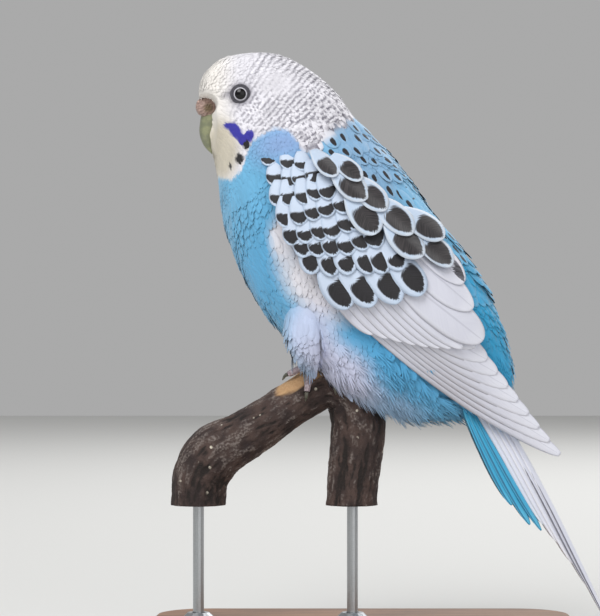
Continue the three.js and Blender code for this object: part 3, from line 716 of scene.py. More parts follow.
skin = mesh_object("skin", skin_points, skin_faces, plumage_finish)
skin_mesh = skin.data
steps = np.linspace(0, LAST, MAP_STEPS)

thigh_count = len(skin_points) - body_count
station_of = np.concatenate([grid_u.ravel(), [0, LAST], np.full(thigh_count, THIGH_STATION)])
thigh_around = np.tile(circle(SIDES)[:THIGH_SIDES], 2 * THIGH_RINGS)
around = np.concatenate([grid_angle.ravel(), [0, 0], thigh_around])
middle_line = body_point(steps, np.full(MAP_STEPS, math.pi / 2), 0)[:, [0, 2]]
middle_run = np.append(0, np.cumsum(np.linalg.norm(np.diff(middle_line, axis=0), axis=1)))
run = np.interp(station_of, steps, middle_run)
paint(skin_mesh, painted(skin_points, skin_points, np.full(len(skin_points), 0.5), run))

corner_vertex = np.empty(len(skin_mesh.loops), int)
skin_mesh.loops.foreach_get("vertex_index", corner_vertex)
face_sizes = [len(polygon.vertices) for polygon in skin_mesh.polygons]
face_of_corner = np.repeat(np.arange(len(face_sizes)), face_sizes)
corner_angle = around[corner_vertex] / (2 * math.pi)
wraps = np.bincount(face_of_corner, weights=corner_angle > 0.9)[face_of_corner] > 0
corner_angle = np.where(wraps & (corner_angle < 0.1), corner_angle + 1, corner_angle)
on_thigh = corner_vertex >= body_count
thigh_side, in_thigh = np.divmod(np.maximum(corner_vertex - body_count, 0), THIGH_RINGS * THIGH_SIDES)
thigh_ring, thigh_turn = np.divmod(in_thigh, THIGH_SIDES)
thigh_u = 0.02 + 0.45 * thigh_side + 0.4 * thigh_turn / THIGH_SIDES
thigh_v = 0.02 + 0.1 * thigh_ring / THIGH_RINGS
map_u = np.where(on_thigh, thigh_u, 0.01 + 0.9 * corner_angle)
map_v = np.where(on_thigh, thigh_v, 0.15 + 0.84 * station_of[corner_vertex] / LAST)
flat_map = skin_mesh.uv_layers.new(name="OFBake")
flat_map.data.foreach_set("uv", np.column_stack([map_u, map_v]).ravel())

# %% [markdown]
# The feathers lie from the bill backwards along the body, which is how the rings run, and a
# little downwards on the flank where the belly's fringe hangs over the branch.

# %% Lie, length, width and density of the coat
NUDGE = 0.02
IS_HEAD = 0.35

ahead = body_point(grid_u + NUDGE, grid_angle, -COAT) - body_point(grid_u - NUDGE, grid_angle, -COAT)
ahead = ahead.reshape(-1, 3)
stride = np.linalg.norm(ahead, axis=1) / (2 * NUDGE)
middle_stride = np.interp(grid_u.ravel(), steps, np.gradient(middle_run, LAST / (MAP_STEPS - 1)))
pace = np.clip(middle_stride / np.maximum(stride, 1e-6), 0.3, 2.5)
run_way = np.zeros_like(skin_points)
run_way[on_grid] = ahead / (2 * NUDGE * stride)[:, None] * pace[:, None]

x, y, z = skin_points.T
lie = np.zeros_like(skin_points)
lie[on_grid] = ahead
lie[head_end], lie[tail_end], lie[body_count:] = (0, 0, 1), (0.5, 0, -0.86), (-0.1, 0, -1)
lie = unit(lie)
low = smoothstep(92, 74, z) * smoothstep(-34, -24, x)
lie += low[:, None] * np.column_stack([0 * x + 0.1, 0.15 * np.sign(y), 0 * x - 0.5])
lie = unit(lie + 0.10 * ripple(skin_points, 14, 5)[:, None] * np.cross(lie, [0.0, 1.0, 0.0]))

is_head = 1 - smoothstep(6.2, 8.2, station_of)
is_mantle = smoothstep(7.3, 8.0, station_of) * (1 - smoothstep(11.4, 12.0, station_of))
is_mantle *= smoothstep(math.cos(1.5), math.cos(1.2), np.cos(around))
is_fringe = smoothstep(84, 78, z) * smoothstep(-30, -22, x) * (1 - 0.6 * smoothstep(15, 30, x))
from_face = smoothstep(0.5, 3.0, station_of)
reach = (1.2 + 1.0 * from_face) * is_head + (1 - is_head) * 5.0
spread = (0.7 + 0.5 * from_face) * is_head + (1 - is_head) * 2.1

wing_a, wing_b = ((skin_points[:, [0, 2]] - WRIST) @ way for way in (ALONG, ACROSS))
under_wing = smoothstep(3, 7, wing_a) * (1 - smoothstep(74, 82, wing_a))
under_wing *= smoothstep(-12, -8, wing_b + 0.05 * wing_a)
under_wing *= 1 - smoothstep(8, 12, wing_b + 0.08 * wing_a)
under_wing *= (np.abs(y) > 8) & (np.arange(len(x)) < body_count)
bare = (np.hypot(x - EYE["x"], z - EYE["z"]) < 2.35) & (np.abs(y) > 8)
bare |= (np.hypot((x + 43.0) / 2.7, (z - 145.6) / 2.3) < 1) & (np.abs(y) < 4.0)
bare |= (np.hypot((x + 43.6) / 2.0, (z - 139.5) / 5.4) < 1) & (np.abs(y) < 3.4)
density = (1 - 0.97 * under_wing) * ~bare

for name, values in {
    "lie": lie,
    "run_way": run_way,
    "run": run,
    "reach": reach * MM,
    "spread": spread * MM,
    "in_head": density * (is_head > IS_HEAD),
    "in_body_left": density * (is_head <= IS_HEAD) * (y < 0),
    "in_body_right": density * (is_head <= IS_HEAD) * (y >= 0),
    "in_mantle": density * (is_mantle >= 0.5),
    "in_fringe": density * is_fringe,
    "root_place": skin_points * MM,
}.items():
    store(skin_mesh, name, values)
store(skin_mesh, "root_map", np.column_stack([map_u, map_v, 0 * map_u]), "CORNER")
print("share of skin under the wings", round(float(under_wing.mean()), 3))

# %% [markdown]
# One small feather, modelled once: a thin closed leaf a unit long and a unit wide, narrow at its
# root, a little hollow below and rounded at its tip. Its own coordinates are stored on it. The
# loose plumes of the belly are a spray of narrow strands instead.

# %% Feather leaves
LEAF_STOPS = [(0, 0.35, 0), (0.3, 0.85, 0.0), (0.65, 1.0, 0.0), (0.88, 0.7, 0.0), (1, 0.12, -0.01)]
STRAND_STOPS = [(0, 0.8, 0), (0.4, 1.0, 0.02), (0.8, 0.6, 0.01), (1, 0.1, -0.02)]
STRANDS = [(0, -0.7, 0.34, 0.82), (0, -0.25, 0.36, 1.0), (0, 0.2, 0.36, 0.93), (0, 0.65, 0.32, 0.78)]
WHOLE = [(0, 0, 1, 1)]


def leaf_object(name, stops, strands):
    """A closed leaf for each strand: (sideways start, sideways end, width, length share)."""
    points, found, coordinates = [], [], []
    for start, end, width, share in strands:
        first, last = len(points), len(points) + 4 * (len(stops) - 1)
        found += [(a, d, c, b) for a, b, c, d in ring_faces(len(stops), 4, first)]
        found += [tuple(range(first, first + 4)), tuple(reversed(range(last, last + 4)))]
        for s, half, rise in stops:
            centre = start + (end - start) * s
            thick = 0.035 * (1 - 0.5 * s)
            for across, up in ((-1, 0), (0, thick + 0.03), (1, 0), (0, -thick + 0.03)):
                points.append((s * share, centre + across * half * width / 2, rise + up))
                coordinates.append((s, 0.5 + across * 0.5, 0))
    mesh = bpy.data.meshes.new(name)
    mesh.from_pydata(points, [], found)
    mesh.update()
    mesh.shade_smooth()
    store(mesh, "leaf", coordinates)
    return linked(name, mesh)


leaf = leaf_object("leaf", LEAF_STOPS, WHOLE)
plume = leaf_object("plume", STRAND_STOPS, STRANDS)

# %% [markdown]
# The coat is a Geometry Nodes tree. It scatters roots over the skin at an even spacing, turns a
# leaf at each root along the lie, lifts it by a few degrees as a roof tile lies on the next, and
# makes real mesh of them all. Every leaf keeps a small patch of the skin's map. A tree suits
# this because spacing, seed and tilt stay plain inputs.

# %% Geometry Nodes coat
COAT_INPUTS = {
    "Leaf": "Object",
    "Spacing": "Float",
    "Tilt": "Float",
    "Scatter": "Float",
    "Seed": "Int",
    "Finish": "Material",
    "Zone": "String",
}
PATCH = 0.003
MOST_ROOTS = 6e6  # to the square metre, so that only the spacing sets how many there are


def coat_tree():
    tree = bpy.data.node_groups.new("coat_of_leaves", "GeometryNodeTree")
    node = functools.partial(add, tree)
    for name, kind in {"Geometry": "Geometry", **COAT_INPUTS}.items():
        tree.interface.new_socket(name, in_out="INPUT", socket_type="NodeSocket" + kind)
    tree.interface.new_socket("Geometry", in_out="OUTPUT", socket_type="NodeSocketGeometry")
    given = tree.nodes.new("NodeGroupInput").outputs
    read, write = "GeometryNodeInputNamedAttribute", "GeometryNodeStoreNamedAttribute"
    way_of_lie = node(f"{read} FLOAT_VECTOR", "lie")

    def draw(low, high, offset):
        """A random number for each leaf, with the coat's seed moved on by offset."""
        seed = {"Seed": node("Math ADD", given["Seed"], float(offset))}
        return node("FunctionNodeRandomValue FLOAT", low, high, named=seed)

    inputs = {
        "Mesh": given["Geometry"],
        "Distance Min": given["Spacing"],
        "Density Max": MOST_ROOTS,
        "Density Factor": node(f"{read} FLOAT", given["Zone"]),
        "Seed": given["Seed"],
    }
    roots = node("GeometryNodeDistributePointsOnFaces POISSON", named=inputs).node.outputs
    normal = roots["Normal"]
    lean = node("Math MULTIPLY", draw(-1.0, 1.0, 1), given["Scatter"])
    sideways = node("VectorMath CROSS_PRODUCT", normal, way_of_lie)
    turned = node("VectorMath SCALE", sideways, lean)
    raised = node("VectorMath SCALE", normal, given["Tilt"])
    way = node("VectorMath ADD", way_of_lie, turned)
    way = node("VectorMath ADD", way, raised)
    axes = {"primary_axis": "X", "secondary_axis": "Z"}
    rotation = node("FunctionNodeAxesToRotation", way, normal, **axes)
    long = node("Math MULTIPLY", node(f"{read} FLOAT", "reach"), draw(0.82, 1.18, 2))
    wide = node("Math MULTIPLY", node(f"{read} FLOAT", "spread"), draw(0.85, 1.15, 3))
    scale = node("CombineXYZ", long, wide, wide)
    inputs = {"Geometry": roots["Points"], "Name": "shade", "Value": draw(0.0, 1.0, 4)}
    shaded = node(f"{write} FLOAT", named=inputs, domain="POINT")
    inputs = {"Geometry": shaded, "Name": "outward", "Value": normal}
    shaded = node(f"{write} FLOAT_VECTOR", named=inputs, domain="POINT")
    model = node("GeometryNodeObjectInfo", given["Leaf"], out="Geometry")
    inputs = {"Points": shaded, "Instance": model, "Rotation": rotation, "Scale": scale}
    planted = node("GeometryNodeInstanceOnPoints", named=inputs)
    real = node("GeometryNodeRealizeInstances", planted)
    across_leaf = node("VectorMath SCALE", node(f"{read} FLOAT_VECTOR", "leaf"), PATCH)
    patch = node("VectorMath ADD", node(f"{read} FLOAT_VECTOR", "root_map"), across_leaf)
    inputs = {"Geometry": real, "Name": "OFBake", "Value": patch}
    mapped = node(f"{write} FLOAT2", named=inputs, domain="CORNER")
    inputs = {"Geometry": mapped, "Material": given["Finish"]}
    node("NodeGroupOutput", node("GeometryNodeSetMaterial", named=inputs))
    return tree


coat_nodes = coat_tree()


# %% Growing and dressing a coat
GROWING = "root_place root_map lie leaf shade outward reach spread run run_way".split()
SOFTNESS = 0.7
MOST_TRIANGLES = 190_000


def grown_coat(name, model, spacing, tilt, scatter, seed, zone, material=plumage_finish):
    """Runs the coat tree on the skin, and returns the feathers as a plain mesh object."""
    inputs = dict(zip(COAT_INPUTS, (model, spacing * MM, tilt, scatter, seed, material, zone)))
    modifier = skin.modifiers.new("coat", "NODES")
    modifier.node_group = coat_nodes
    for item in coat_nodes.interface.items_tree:
        if item.in_out == "INPUT" and item.name in inputs:
            modifier[item.identifier] = inputs[item.name]
    evaluated = skin.evaluated_get(bpy.context.evaluated_depsgraph_get())
    mesh = bpy.data.meshes.new_from_object(evaluated)
    skin.modifiers.remove(modifier)
    mesh.name = name
    return linked(name, mesh)


def dress(piece, slot):
    """Paints a coat by the places of its leaves, shades it softly and puts it on the frame."""
    mesh = piece.data
    flat = np.empty(len(mesh.vertices) * 3)
    mesh.vertices.foreach_get("co", flat)
    places = flat.reshape(-1, 3) / MM
    roots = numbers_of(mesh, "root_place", 3).astype(float) / MM
    gone = np.sum((places - roots) * numbers_of(mesh, "run_way", 3), axis=1)
    shade = numbers_of(mesh, "shade")
    paint(mesh, painted(places, roots, shade, numbers_of(mesh, "run") + gone))
    own = np.empty(len(mesh.vertices) * 3, np.float32)
    mesh.vertex_normals.foreach_get("vector", own)
    normals = (1 - SOFTNESS) * own.reshape(-1, 3) + SOFTNESS * numbers_of(mesh, "outward", 3)
    mesh.normals_split_custom_set_from_vertices(unit(normals).tolist())
    for name in [layer.name for layer in mesh.attributes]:
        if name in GROWING or name.startswith("in_"):
            mesh.attributes.remove(mesh.attributes[name])
    triangles = sum(len(polygon.vertices) - 2 for polygon in mesh.polygons)
    print(f"{piece.name}: {triangles} triangles")
    assert triangles < MOST_TRIANGLES, piece.name
    on_frame(piece, slot)


# %% Head and body coats, and the skin under them
COATS = [
    # name; slot; spacing; tilt; scatter; seed; zone
    ("head_feathers", "white_feathers", 0.58, 0.07, 0.10, 1, "in_head"),
    ("body_feathers_left", "blue_feathers", 1.1, 0.055, 0.12, 2, "in_body_left"),
    ("body_feathers_right", "blue_feathers", 1.1, 0.055, 0.12, 2, "in_body_right"),
]
for name, slot, *growth in COATS:
    dress(grown_coat(name, leaf, *growth), slot)

skin_nodes = ("head", "neck", "torso", "abdomen", "thigh_left", "thigh_right")
on_frame(skin, "blue_feathers", *skin_nodes)

# %% [markdown]
# Wing and tail feathers are large enough to be set one by one, as a taxidermist grooms them.
# Each is a thin closed vane that follows the folded wing's shell: narrow at the quill, full in
# the middle, round at the tip and a little hollow below. Its outer edge lies over the feather
# beside it, and its tip over the next row, like tiles. Each vane also carries its own small map,
# across and along, on which its mark is painted.

# %% One vane on a shell
NO_MARK = (0.5, 0.01, 0.01, 3.0)


def vane_width(t, narrow):
    swell = narrow + (1 - narrow) * np.sin(np.clip(t / 0.5, 0, 1) * math.pi / 2)
    late = np.clip((t - 0.6) / 0.4, 0, 1)
    return swell * np.sqrt(np.maximum(1 - 0.97 * late**2, 0.02))


def vane(place, root, tip, width, lifts, mark, rows, columns=7, bow=0.0, tilt=0.22, kind=0):
    """Top and under points of one vane, with its coordinates, mark and kind of finish."""
    root, tip = np.array(root, float), np.array(tip, float)
    length = np.linalg.norm(tip - root)
    way = (tip - root) / length
    side = np.array([-way[1], way[0]])
    step = 1 - (1 - np.linspace(0, 1, rows)) ** 1.5
    t, c = np.meshgrid(step, np.linspace(-1, 1, columns), indexing="ij")
    half = width / 2 * vane_width(t, 0.45)
    spine = root + way * (t * length)[..., None] + side * (bow * np.sin(math.pi * t))[..., None]
    a, b = np.moveaxis(spine + side * (c * half)[..., None], -1, 0)
    lift = lifts[0] + (lifts[1] - lifts[0]) * t + 0.028 * width * (1 - c * c) - tilt * c
    thick = 0.22 * (1 - 0.55 * np.abs(c))
    faces = [place(a, b, lift + part * thick / 2).reshape(-1, 3) for part in (1, -1)]
    return {"faces": faces, "t": t.ravel(), "c": c.ravel(), "mark": mark, "kind": kind, "shape": t.shape}


def vane_faces(rows, columns, start):
    """Quads of the top, of the under side and of the rim between them."""
    low = start + rows * columns
    found = []
    for i in range(rows - 1):
        for j in range(columns - 1):
            a, b = i * columns + j, (i + 1) * columns + j
            found.append((start + a, start + b, start + b + 1, start + a + 1))
            found.append((low + a, low + a + 1, low + b + 1, low + b))
    rim = list(range(columns))
    rim += [i * columns + columns - 1 for i in range(1, rows)]
    rim += [(rows - 1) * columns + j for j in reversed(range(columns - 1))]
    rim += [i * columns for i in reversed(range(1, rows - 1))]
    turns = zip(rim, rim[1:] + rim[:1])
    return found + [(start + one, start + two, low + two, low + one) for one, two in turns]


def signed_volume(points, found):
    """Six times the volume inside the faces, less than 0 where they point inwards."""
    fans = [(face[0], face[i], face[i + 1]) for face in found for i in range(1, len(face) - 1)]
    a, b, c = np.moveaxis(points[np.array(fans)], 1, 0)
    return float(np.sum(a * np.cross(b, c)))


def vane_piece(name, vanes, finishes, mirrored=False):
    """One mesh object of many vanes, with their own map, their baking map and their marks."""
    points, found, kinds, own, bake, marks = [], [], [], [], [], []
    cells = math.ceil(math.sqrt(len(vanes)))
    draw = np.random.default_rng(len(vanes) + 7)
    for n, one in enumerate(vanes):
        more = vane_faces(*one["shape"], sum(len(part) for part in points))
        points += one["faces"]
        found += more
        kinds += [one["kind"]] * len(more)
        u, v = one["c"] / 2 + 0.5, one["t"]
        own += [np.column_stack([u, v])] * 2
        corner, size = np.array([n % cells, n // cells]) / cells, 0.94 / cells
        bake += [corner + np.column_stack([left + 0.48 * u, v]) * size for left in (0, 0.52)]
        marks.append(np.tile((*one["mark"], draw.uniform()), (2 * len(u), 1)))
    points = np.vstack(points) * [1, -1 if mirrored else 1, 1]
    if signed_volume(points - points[0], vane_faces(*vanes[0]["shape"], 0)) < 0:
        found = [tuple(reversed(face)) for face in found]
    piece = mesh_object(name, points, found, *finishes)
    mesh = piece.data
    mesh.polygons.foreach_set("material_index", kinds)
    vertex = np.empty(len(mesh.loops), int)
    mesh.loops.foreach_get("vertex_index", vertex)
    for layer_name, values in {"vane": np.vstack(own), "OFBake": np.vstack(bake)}.items():
        mesh.uv_layers.new(name=layer_name).data.foreach_set("uv", values[vertex].ravel())
    marks = np.vstack(marks)
    for layer_name, values in {"mark": marks[:, :3], "aside": marks[:, 3], "tone": marks[:, 4]}.items():
        store(mesh, layer_name, values)
    return piece


# %% [markdown]
# The marks. A budgerigar's covert is black near its end and pale at its rim, a scapular is
# nearly all blackish brown with a pale hem, and this pale bird's flight feathers are white with
# fine grey edges. One recipe serves them all: a dark rounded field whose centre, length, width
# and shift are stored on each vane, with an edge frayed along the barbs.

# %% Vane finishes
FIELD_POWER = 2.6  # between an ellipse and a rounded box


def vane_finish(name, pale, rim, dark, core, edge=0.0):
    """A vane's finish. Without a pale colour its ground is the painted one."""

    def build(node):
        place = node("SeparateXYZ", node("UVMap", uv_map="vane")).node.outputs
        across = node("Math MULTIPLY_ADD", place[0], 2.0, -1.0)
        out = node("Math ABSOLUTE", across)
        phase = node("Math MULTIPLY_ADD", out, -0.22, place[1])
        tone = node("Attribute", attribute_name="tone", out="Fac")
        stretched = node("Math MULTIPLY", phase, 46.0)
        barb_place = node("CombineXYZ", stretched, across, node("Math MULTIPLY", tone, 37.0))
        barb = node("TexNoise", barb_place, 1.0, 3.0)
        stored = node("Attribute", attribute_name="mark", out="Vector")
        centre, long, wide = node("SeparateXYZ", stored).node.outputs
        bent = node("Math MULTIPLY_ADD", node("Math POWER", out, 2.0), 0.14, place[1])
        frayed = node("Math MULTIPLY_ADD", node("Math SUBTRACT", barb, 0.5), 0.22, bent)
        down = node("Math DIVIDE", node("Math SUBTRACT", frayed, centre), long)
        shift = node("Attribute", attribute_name="aside", out="Fac")
        aside = node("Math DIVIDE", node("Math SUBTRACT", across, shift), wide)
        sizes = [node("Math ABSOLUTE", part) for part in (down, aside)]
        field = node("Math ADD", *[node("Math POWER", size, FIELD_POWER) for size in sizes])
        outside = node("MapRange SMOOTHSTEP", field, 0.75, 1.15)
        at_side = node("MapRange SMOOTHSTEP", out, 0.7, 0.95)
        hem = node("Math MAXIMUM", at_side, node("MapRange SMOOTHSTEP", place[1], 0.82, 0.95))
        if pale:
            ground = node("Mix RGBA", hem, pale, rim)
        else:
            tint = node("Attribute", attribute_name="tint")
            ground = node("Mix RGBA", node("Math MULTIPLY", hem, 0.12), tint, rim)
        streaks = node("MapRange SMOOTHSTEP", barb, 0.35, 0.75)
        ground = node("Mix RGBA", node("Math MULTIPLY", streaks, 0.25), ground, rim)
        if edge:
            line = node("Math MULTIPLY", node("MapRange SMOOTHSTEP", out, 0.88, 0.97), edge)
            beside = node("MapRange SMOOTHSTEP", out, 0.02, 0.07)
            shaft = node("Math MULTIPLY", node("Math SUBTRACT", 1.0, beside), edge * 0.6)
            ground = node("Mix RGBA", node("Math MAXIMUM", line, shaft), ground, core)
        mottle = node("MapRange SMOOTHSTEP", barb, 0.3, 0.8)
        middle = node("Mix RGBA", node("Math MULTIPLY", mottle, 0.7), dark, core)
        return node("Mix RGBA", outside, middle, ground), barb

    return finish(name, build, (0.35, 0.15), roughness=0.62, sheen_weight=0.15)


covert_finish = vane_finish("covert_vane", "#c6d3e6", "#bfcfe4", "#0f0d11", "#25222a")
scapular_finish = vane_finish("scapular_vane", "#bccde2", "#c9d3e0", "#161317", "#4a4446")
flight_finish = vane_finish("flight_vane", "#d2d3df", "#dcdde7", "#19161b", "#9c9cab", 0.55)
tail_finish = vane_finish("tail_vane", "#d8dae8", "#e8e8ef", "#5a5966", "#9a9bab", 0.28)
blue_finish = vane_finish("rump_vane", "#3ba9d2", "#59b9dc", "#23658a", "#2c86ad", 0.4)

# %% [markdown]
# The folded wing, from the outermost primary to the lesser coverts at the wrist. The median
# coverts make one clear row of black drops, the scapulars are large dark ovals, and one tertial
# has a black streak at its end.

# %% Flight feathers of the wing
TERTIALS = [
    # root; tip; width; lift; mark
    ((40, 3), (68.5, 5.5), 10, 2.5, NO_MARK),
    ((36, 8.5), (61, 9.6), 9, 2.8, NO_MARK),
    ((33, 13), (55, 13.2), 8, 3.1, (0.90, 0.12, 0.42, 0.35)),
]
FLIGHT_SETTLE = 1.7


def shares(count):
    return np.linspace(0, 1, count)


def between(one, two, s):
    return np.asarray(one, float) * (1 - s) + np.asarray(two, float) * s


def settled(drop):
    return lambda a, b, lift: wing_place(a, b, lift, drop)


def root_of(tip, length, lean):
    """Where a feather's root lies, from its tip, length and lean in degrees."""
    return tip - length * np.array([math.cos(math.radians(lean)), math.sin(math.radians(lean))])


primaries = []
for s in shares(9):
    root, tip = (30 + 12 * s, -11.6 + 12.6 * s), (106 - 37.2 * s, -1.2 + 5.1 * s)
    lifts = (0.1 + 0.75 * s, 0.1 + 0.95 * s)
    made = vane(settled(0), root, tip, 6.6 + 1.4 * s, lifts, NO_MARK, 26, bow=-1.5, tilt=0.12)
    primaries.append(made)

secondaries = []
for s in shares(8):
    tip = between((47, -11.8), (66, 1), s) + (1.5 * math.sin(math.pi * s), 0)
    root = root_of(tip, 20 + 6 * s, -6 + 9 * s)
    lifts = (1.9 + 0.3 * s, 1.9 + 0.3 * s)
    secondaries.append(vane(settled(FLIGHT_SETTLE), root, tip, 5.8, lifts, NO_MARK, 18))
for root, tip, width, lift, mark in TERTIALS:
    made = vane(settled(FLIGHT_SETTLE), root, tip, width, (lift, lift), mark, 20, 9, tilt=0.1)
    secondaries.append(made)

# %% Coverts and scapulars
COVERT_ROWS = [
    # count; first tip; last tip; length; width; lean from, to; mark centre, length, width, shift
    (4, (37.4, -11.0), (48.4, 3.6), 13.0, 7.0, -12, -8, (0.67, 0.29, 0.74, 0.12)),
    (6, (25.2, -10.8), (40.6, 4.8), 10.5, 5.8, -36, -14, (0.75, 0.21, 0.78, 0.0)),
    (6, (20.6, -9.6), (32.0, 4.6), 8.6, 5.2, -38, -18, (0.76, 0.18, 1.0, 0.0)),
    (6, (15.8, -8.6), (25.8, 4.6), 8.0, 5.0, -40, -22, (0.76, 0.18, 1.0, 0.0)),
    (5, (11.2, -6.6), (19.8, 4.6), 7.4, 4.9, -42, -26, (0.76, 0.19, 1.0, 0.0)),
    (5, (6.6, -4.8), (14.4, 5.2), 7.0, 4.6, -42, -28, (0.76, 0.19, 1.0, 0.0)),
    (4, (2.2, -2.2), (9.4, 5.2), 6.4, 4.4, -44, -30, (0.75, 0.20, 1.0, 0.0)),
    (3, (-2.4, 0.6), (4.6, 5.6), 5.6, 4.2, -44, -32, (0.75, 0.20, 1.0, 0.0)),
]
SCAPULARS = [
    # tip; length; width
    ((12.0, 9.6), 9.0, 5.4),
    ((17.0, 13.8), 10.0, 5.4),
    ((21.5, 10.4), 12.5, 7.4),
    ((27.0, 12.4), 12.5, 7.4),
    ((29.5, 6.2), 12.5, 7.2),
    ((36.2, 12.6), 13.5, 8.0),
    ((41.9, 9.6), 13.5, 8.4),
    ((43.0, 17.4), 13.0, 6.8),
    ((49.4, 13.8), 13.5, 7.2),
]
SCAPULAR_SETTLE = 3.0
draw = np.random.default_rng(21)

coverts = []
for count, first, last, length, width, lean_from, lean_to, mark in COVERT_ROWS:
    for s in shares(count):
        tip = between(first, last, s) + draw.uniform(-0.45, 0.45, 2) + (0.8 * math.sin(math.pi * s), 0)
        lean = lean_from + (lean_to - lean_from) * s + draw.uniform(-4, 4)
        root = root_of(tip, length * draw.uniform(0.94, 1.06), lean)
        high = 1.3 + 2.5 * smoothstep(-2, 16, tip[0])
        own = np.array(mark) * (1, draw.uniform(0.85, 1.15), draw.uniform(0.92, 1.06), 1)
        coverts.append(vane(settled(0), root, tip, width, (high - 0.45, high + 0.45), own, 11))

scapulars = []
for (a, b), length, width in sorted(SCAPULARS, reverse=True):
    root, over = (a - length, 0.6 * b + 5.2), 0.012 * (50 - a)
    mark = (0.66, 0.30, 0.84 * draw.uniform(0.92, 1.05), 0.0)
    lifts, place = (4.6 + over, 5.5 + over), settled(SCAPULAR_SETTLE)
    scapulars.append(vane(place, root, (a, b), width, lifts, mark, 14, 9, tilt=0.3))

# %% Both wings
WING = {
    "primaries": (primaries, flight_finish, "wing_feathers"),
    "secondaries": (secondaries, flight_finish, "wing_feathers"),
    "coverts": (coverts, covert_finish, "barred_feathers"),
    "scapulars": (scapulars, scapular_finish, "barred_feathers"),
}
for side in ("left", "right"):
    for part, (vanes, material, slot) in WING.items():
        piece = vane_piece(f"{part}_{side}", vanes, [material], side == "right")
        on_frame(piece, slot, f"wing_{side}_{part}")

# %% [markdown]
# The tail is a long closed fan: twelve narrow feathers folded over one another like a hand of
# cards, the two middle ones longest, with coverts laid over and under its root.

# %% Tail feathers
TAIL_ROOT = np.array([27.0, 73.4])
TAIL_ALONG, TAIL_UP = np.array([0.503, -0.865]), np.array([0.865, 0.503])
TAIL_ARCH, UNDER_ARCH = 5.6, 9.0
TAIL_CROWN = [[0, 1.5], [20, 2.8], [40, 2.4], [60, 1.0], [80, -0.6]]
TAIL_TIPS = [79, 66, 58, 51, 45, 40]
UNDER = [
    # sideways at the root and tip; tip along the tail; lift at the root and tip; finish
    (4.5, 5.8, 46, -1.6, -1.6, 1),
    (5.5, 7.4, 43, -1.8, -2.4, 1),
    (6.0, 8.6, 36, -2.0, -3.0, 1),
    (4.0, 4.4, 33, -4.0, -4.4, 1),
    (2.0, 2.4, 37, -4.6, -4.2, 0),
    (0.0, 0.4, 34, -5.0, -4.6, 0),
]


def tail_point(a, across, up):
    flat = TAIL_ROOT + a[..., None] * TAIL_ALONG + up[..., None] * TAIL_UP
    return np.stack([flat[..., 0], across, flat[..., 1]], axis=-1)


def tail_place(a, b, lift):
    """Points over the tail's narrow arch."""
    angle, radius = b / TAIL_ARCH, TAIL_ARCH + lift
    up = eased(TAIL_CROWN, a, 1) - TAIL_ARCH + radius * np.cos(angle)
    return tail_point(a, radius * np.sin(angle), up)


def under_place(a, b, lift):
    """A wider arch under the tail, for the outer tail feathers and the under coverts."""
    angle = b / UNDER_ARCH
    return tail_point(a, UNDER_ARCH * np.sin(angle), lift + UNDER_ARCH * (np.cos(angle) - 1))


tail_vanes = []
for i, tip in enumerate(TAIL_TIPS):
    for side in (-1, 1):
        mark = (0.9, 0.4, 0.12, 0.8 * side) if i < 2 else NO_MARK
        lift = 0.55 - 0.28 * i + 0.1 * side
        root, end = (2, side * (1.6 + 1.2 * i)), (tip, side * (1.7 + 1.35 * i))
        lifts, tilt = (lift, lift), -0.08 * side
        tail_vanes.append(vane(tail_place, root, end, 5.2 - 0.2 * i, lifts, mark, 28, tilt=tilt))
for i in range(-2, 3):
    for k in range(3):
        tip = (23 - 2.4 * abs(i) - 5 * k, 2.4 * i + 0.6 * (k % 2))
        lifts = (0.9 + 0.35 * k, 1.3 + 0.35 * k)
        tail_vanes.append(vane(tail_place, (2, 2.0 * i), tip, 4.6, lifts, NO_MARK, 14, kind=1))
for root_side, tip_side, reach_to, low_lift, high_lift, kind in UNDER:
    for side in (-1, 1):
        mark, tilt = (0.8, 0.5, 0.12, 0.8 * side), -0.1 * side
        root, tip = (2, side * root_side), (reach_to, side * tip_side)
        lifts = (low_lift + 0.1 * side, high_lift + 0.1 * side)
        tail_vanes.append(vane(under_place, root, tip, 4.6, lifts, mark, 18, tilt=tilt, kind=kind))
on_frame(vane_piece("tail_fan", tail_vanes, [tail_finish, blue_finish]), "tail_feathers", "tail")

# %% [markdown]
# The eye is glass, as in any museum mount: a black pupil behind a narrow pale iris ring, with
# one clear bulge over both. Round it lies a ring of bare lids, dark grey and finely beaded. The
# eye and lids are turned as rings round the eye's own axis, the way a bead is turned on a lathe.

# %% Eyes and lids
BALL_RINGS, BALL_SIDES, LID_SIDES = 48, 64, 132
BEAD_HEIGHT = 0.05
LIDS = [
    # radius; height over the eye's middle; thickness; beads
    (1.98, 1.62, 0.22, 22),
    (2.38, 1.42, 0.30, 26),
]


def ways_round(rings, sides):
    """Directions of a ball in rings round the y axis, without its two poles."""
    a, b = np.meshgrid(np.linspace(0, math.pi, rings)[1:-1], circle(sides), indexing="ij")
    return np.stack([np.sin(a) * np.cos(b), np.cos(a), np.sin(a) * np.sin(b)], -1).reshape(-1, 3)


def ball(name, centre, radii, material):
    """An egg with its poles on the y axis, so that the pupil faces one of them."""
    ways = np.vstack([ways_round(BALL_RINGS, BALL_SIDES), [0, 1, 0], [0, -1, 0]])
    found = ring_faces(BALL_RINGS - 2, BALL_SIDES)
    pole, last = len(ways) - 2, (BALL_RINGS - 3) * BALL_SIDES
    for j in range(BALL_SIDES):
        k = (j + 1) % BALL_SIDES
        found += [(pole, k, j), (pole + 1, last + j, last + k)]
    return turned_out(mesh_object(name, ways * radii + centre, found, material))


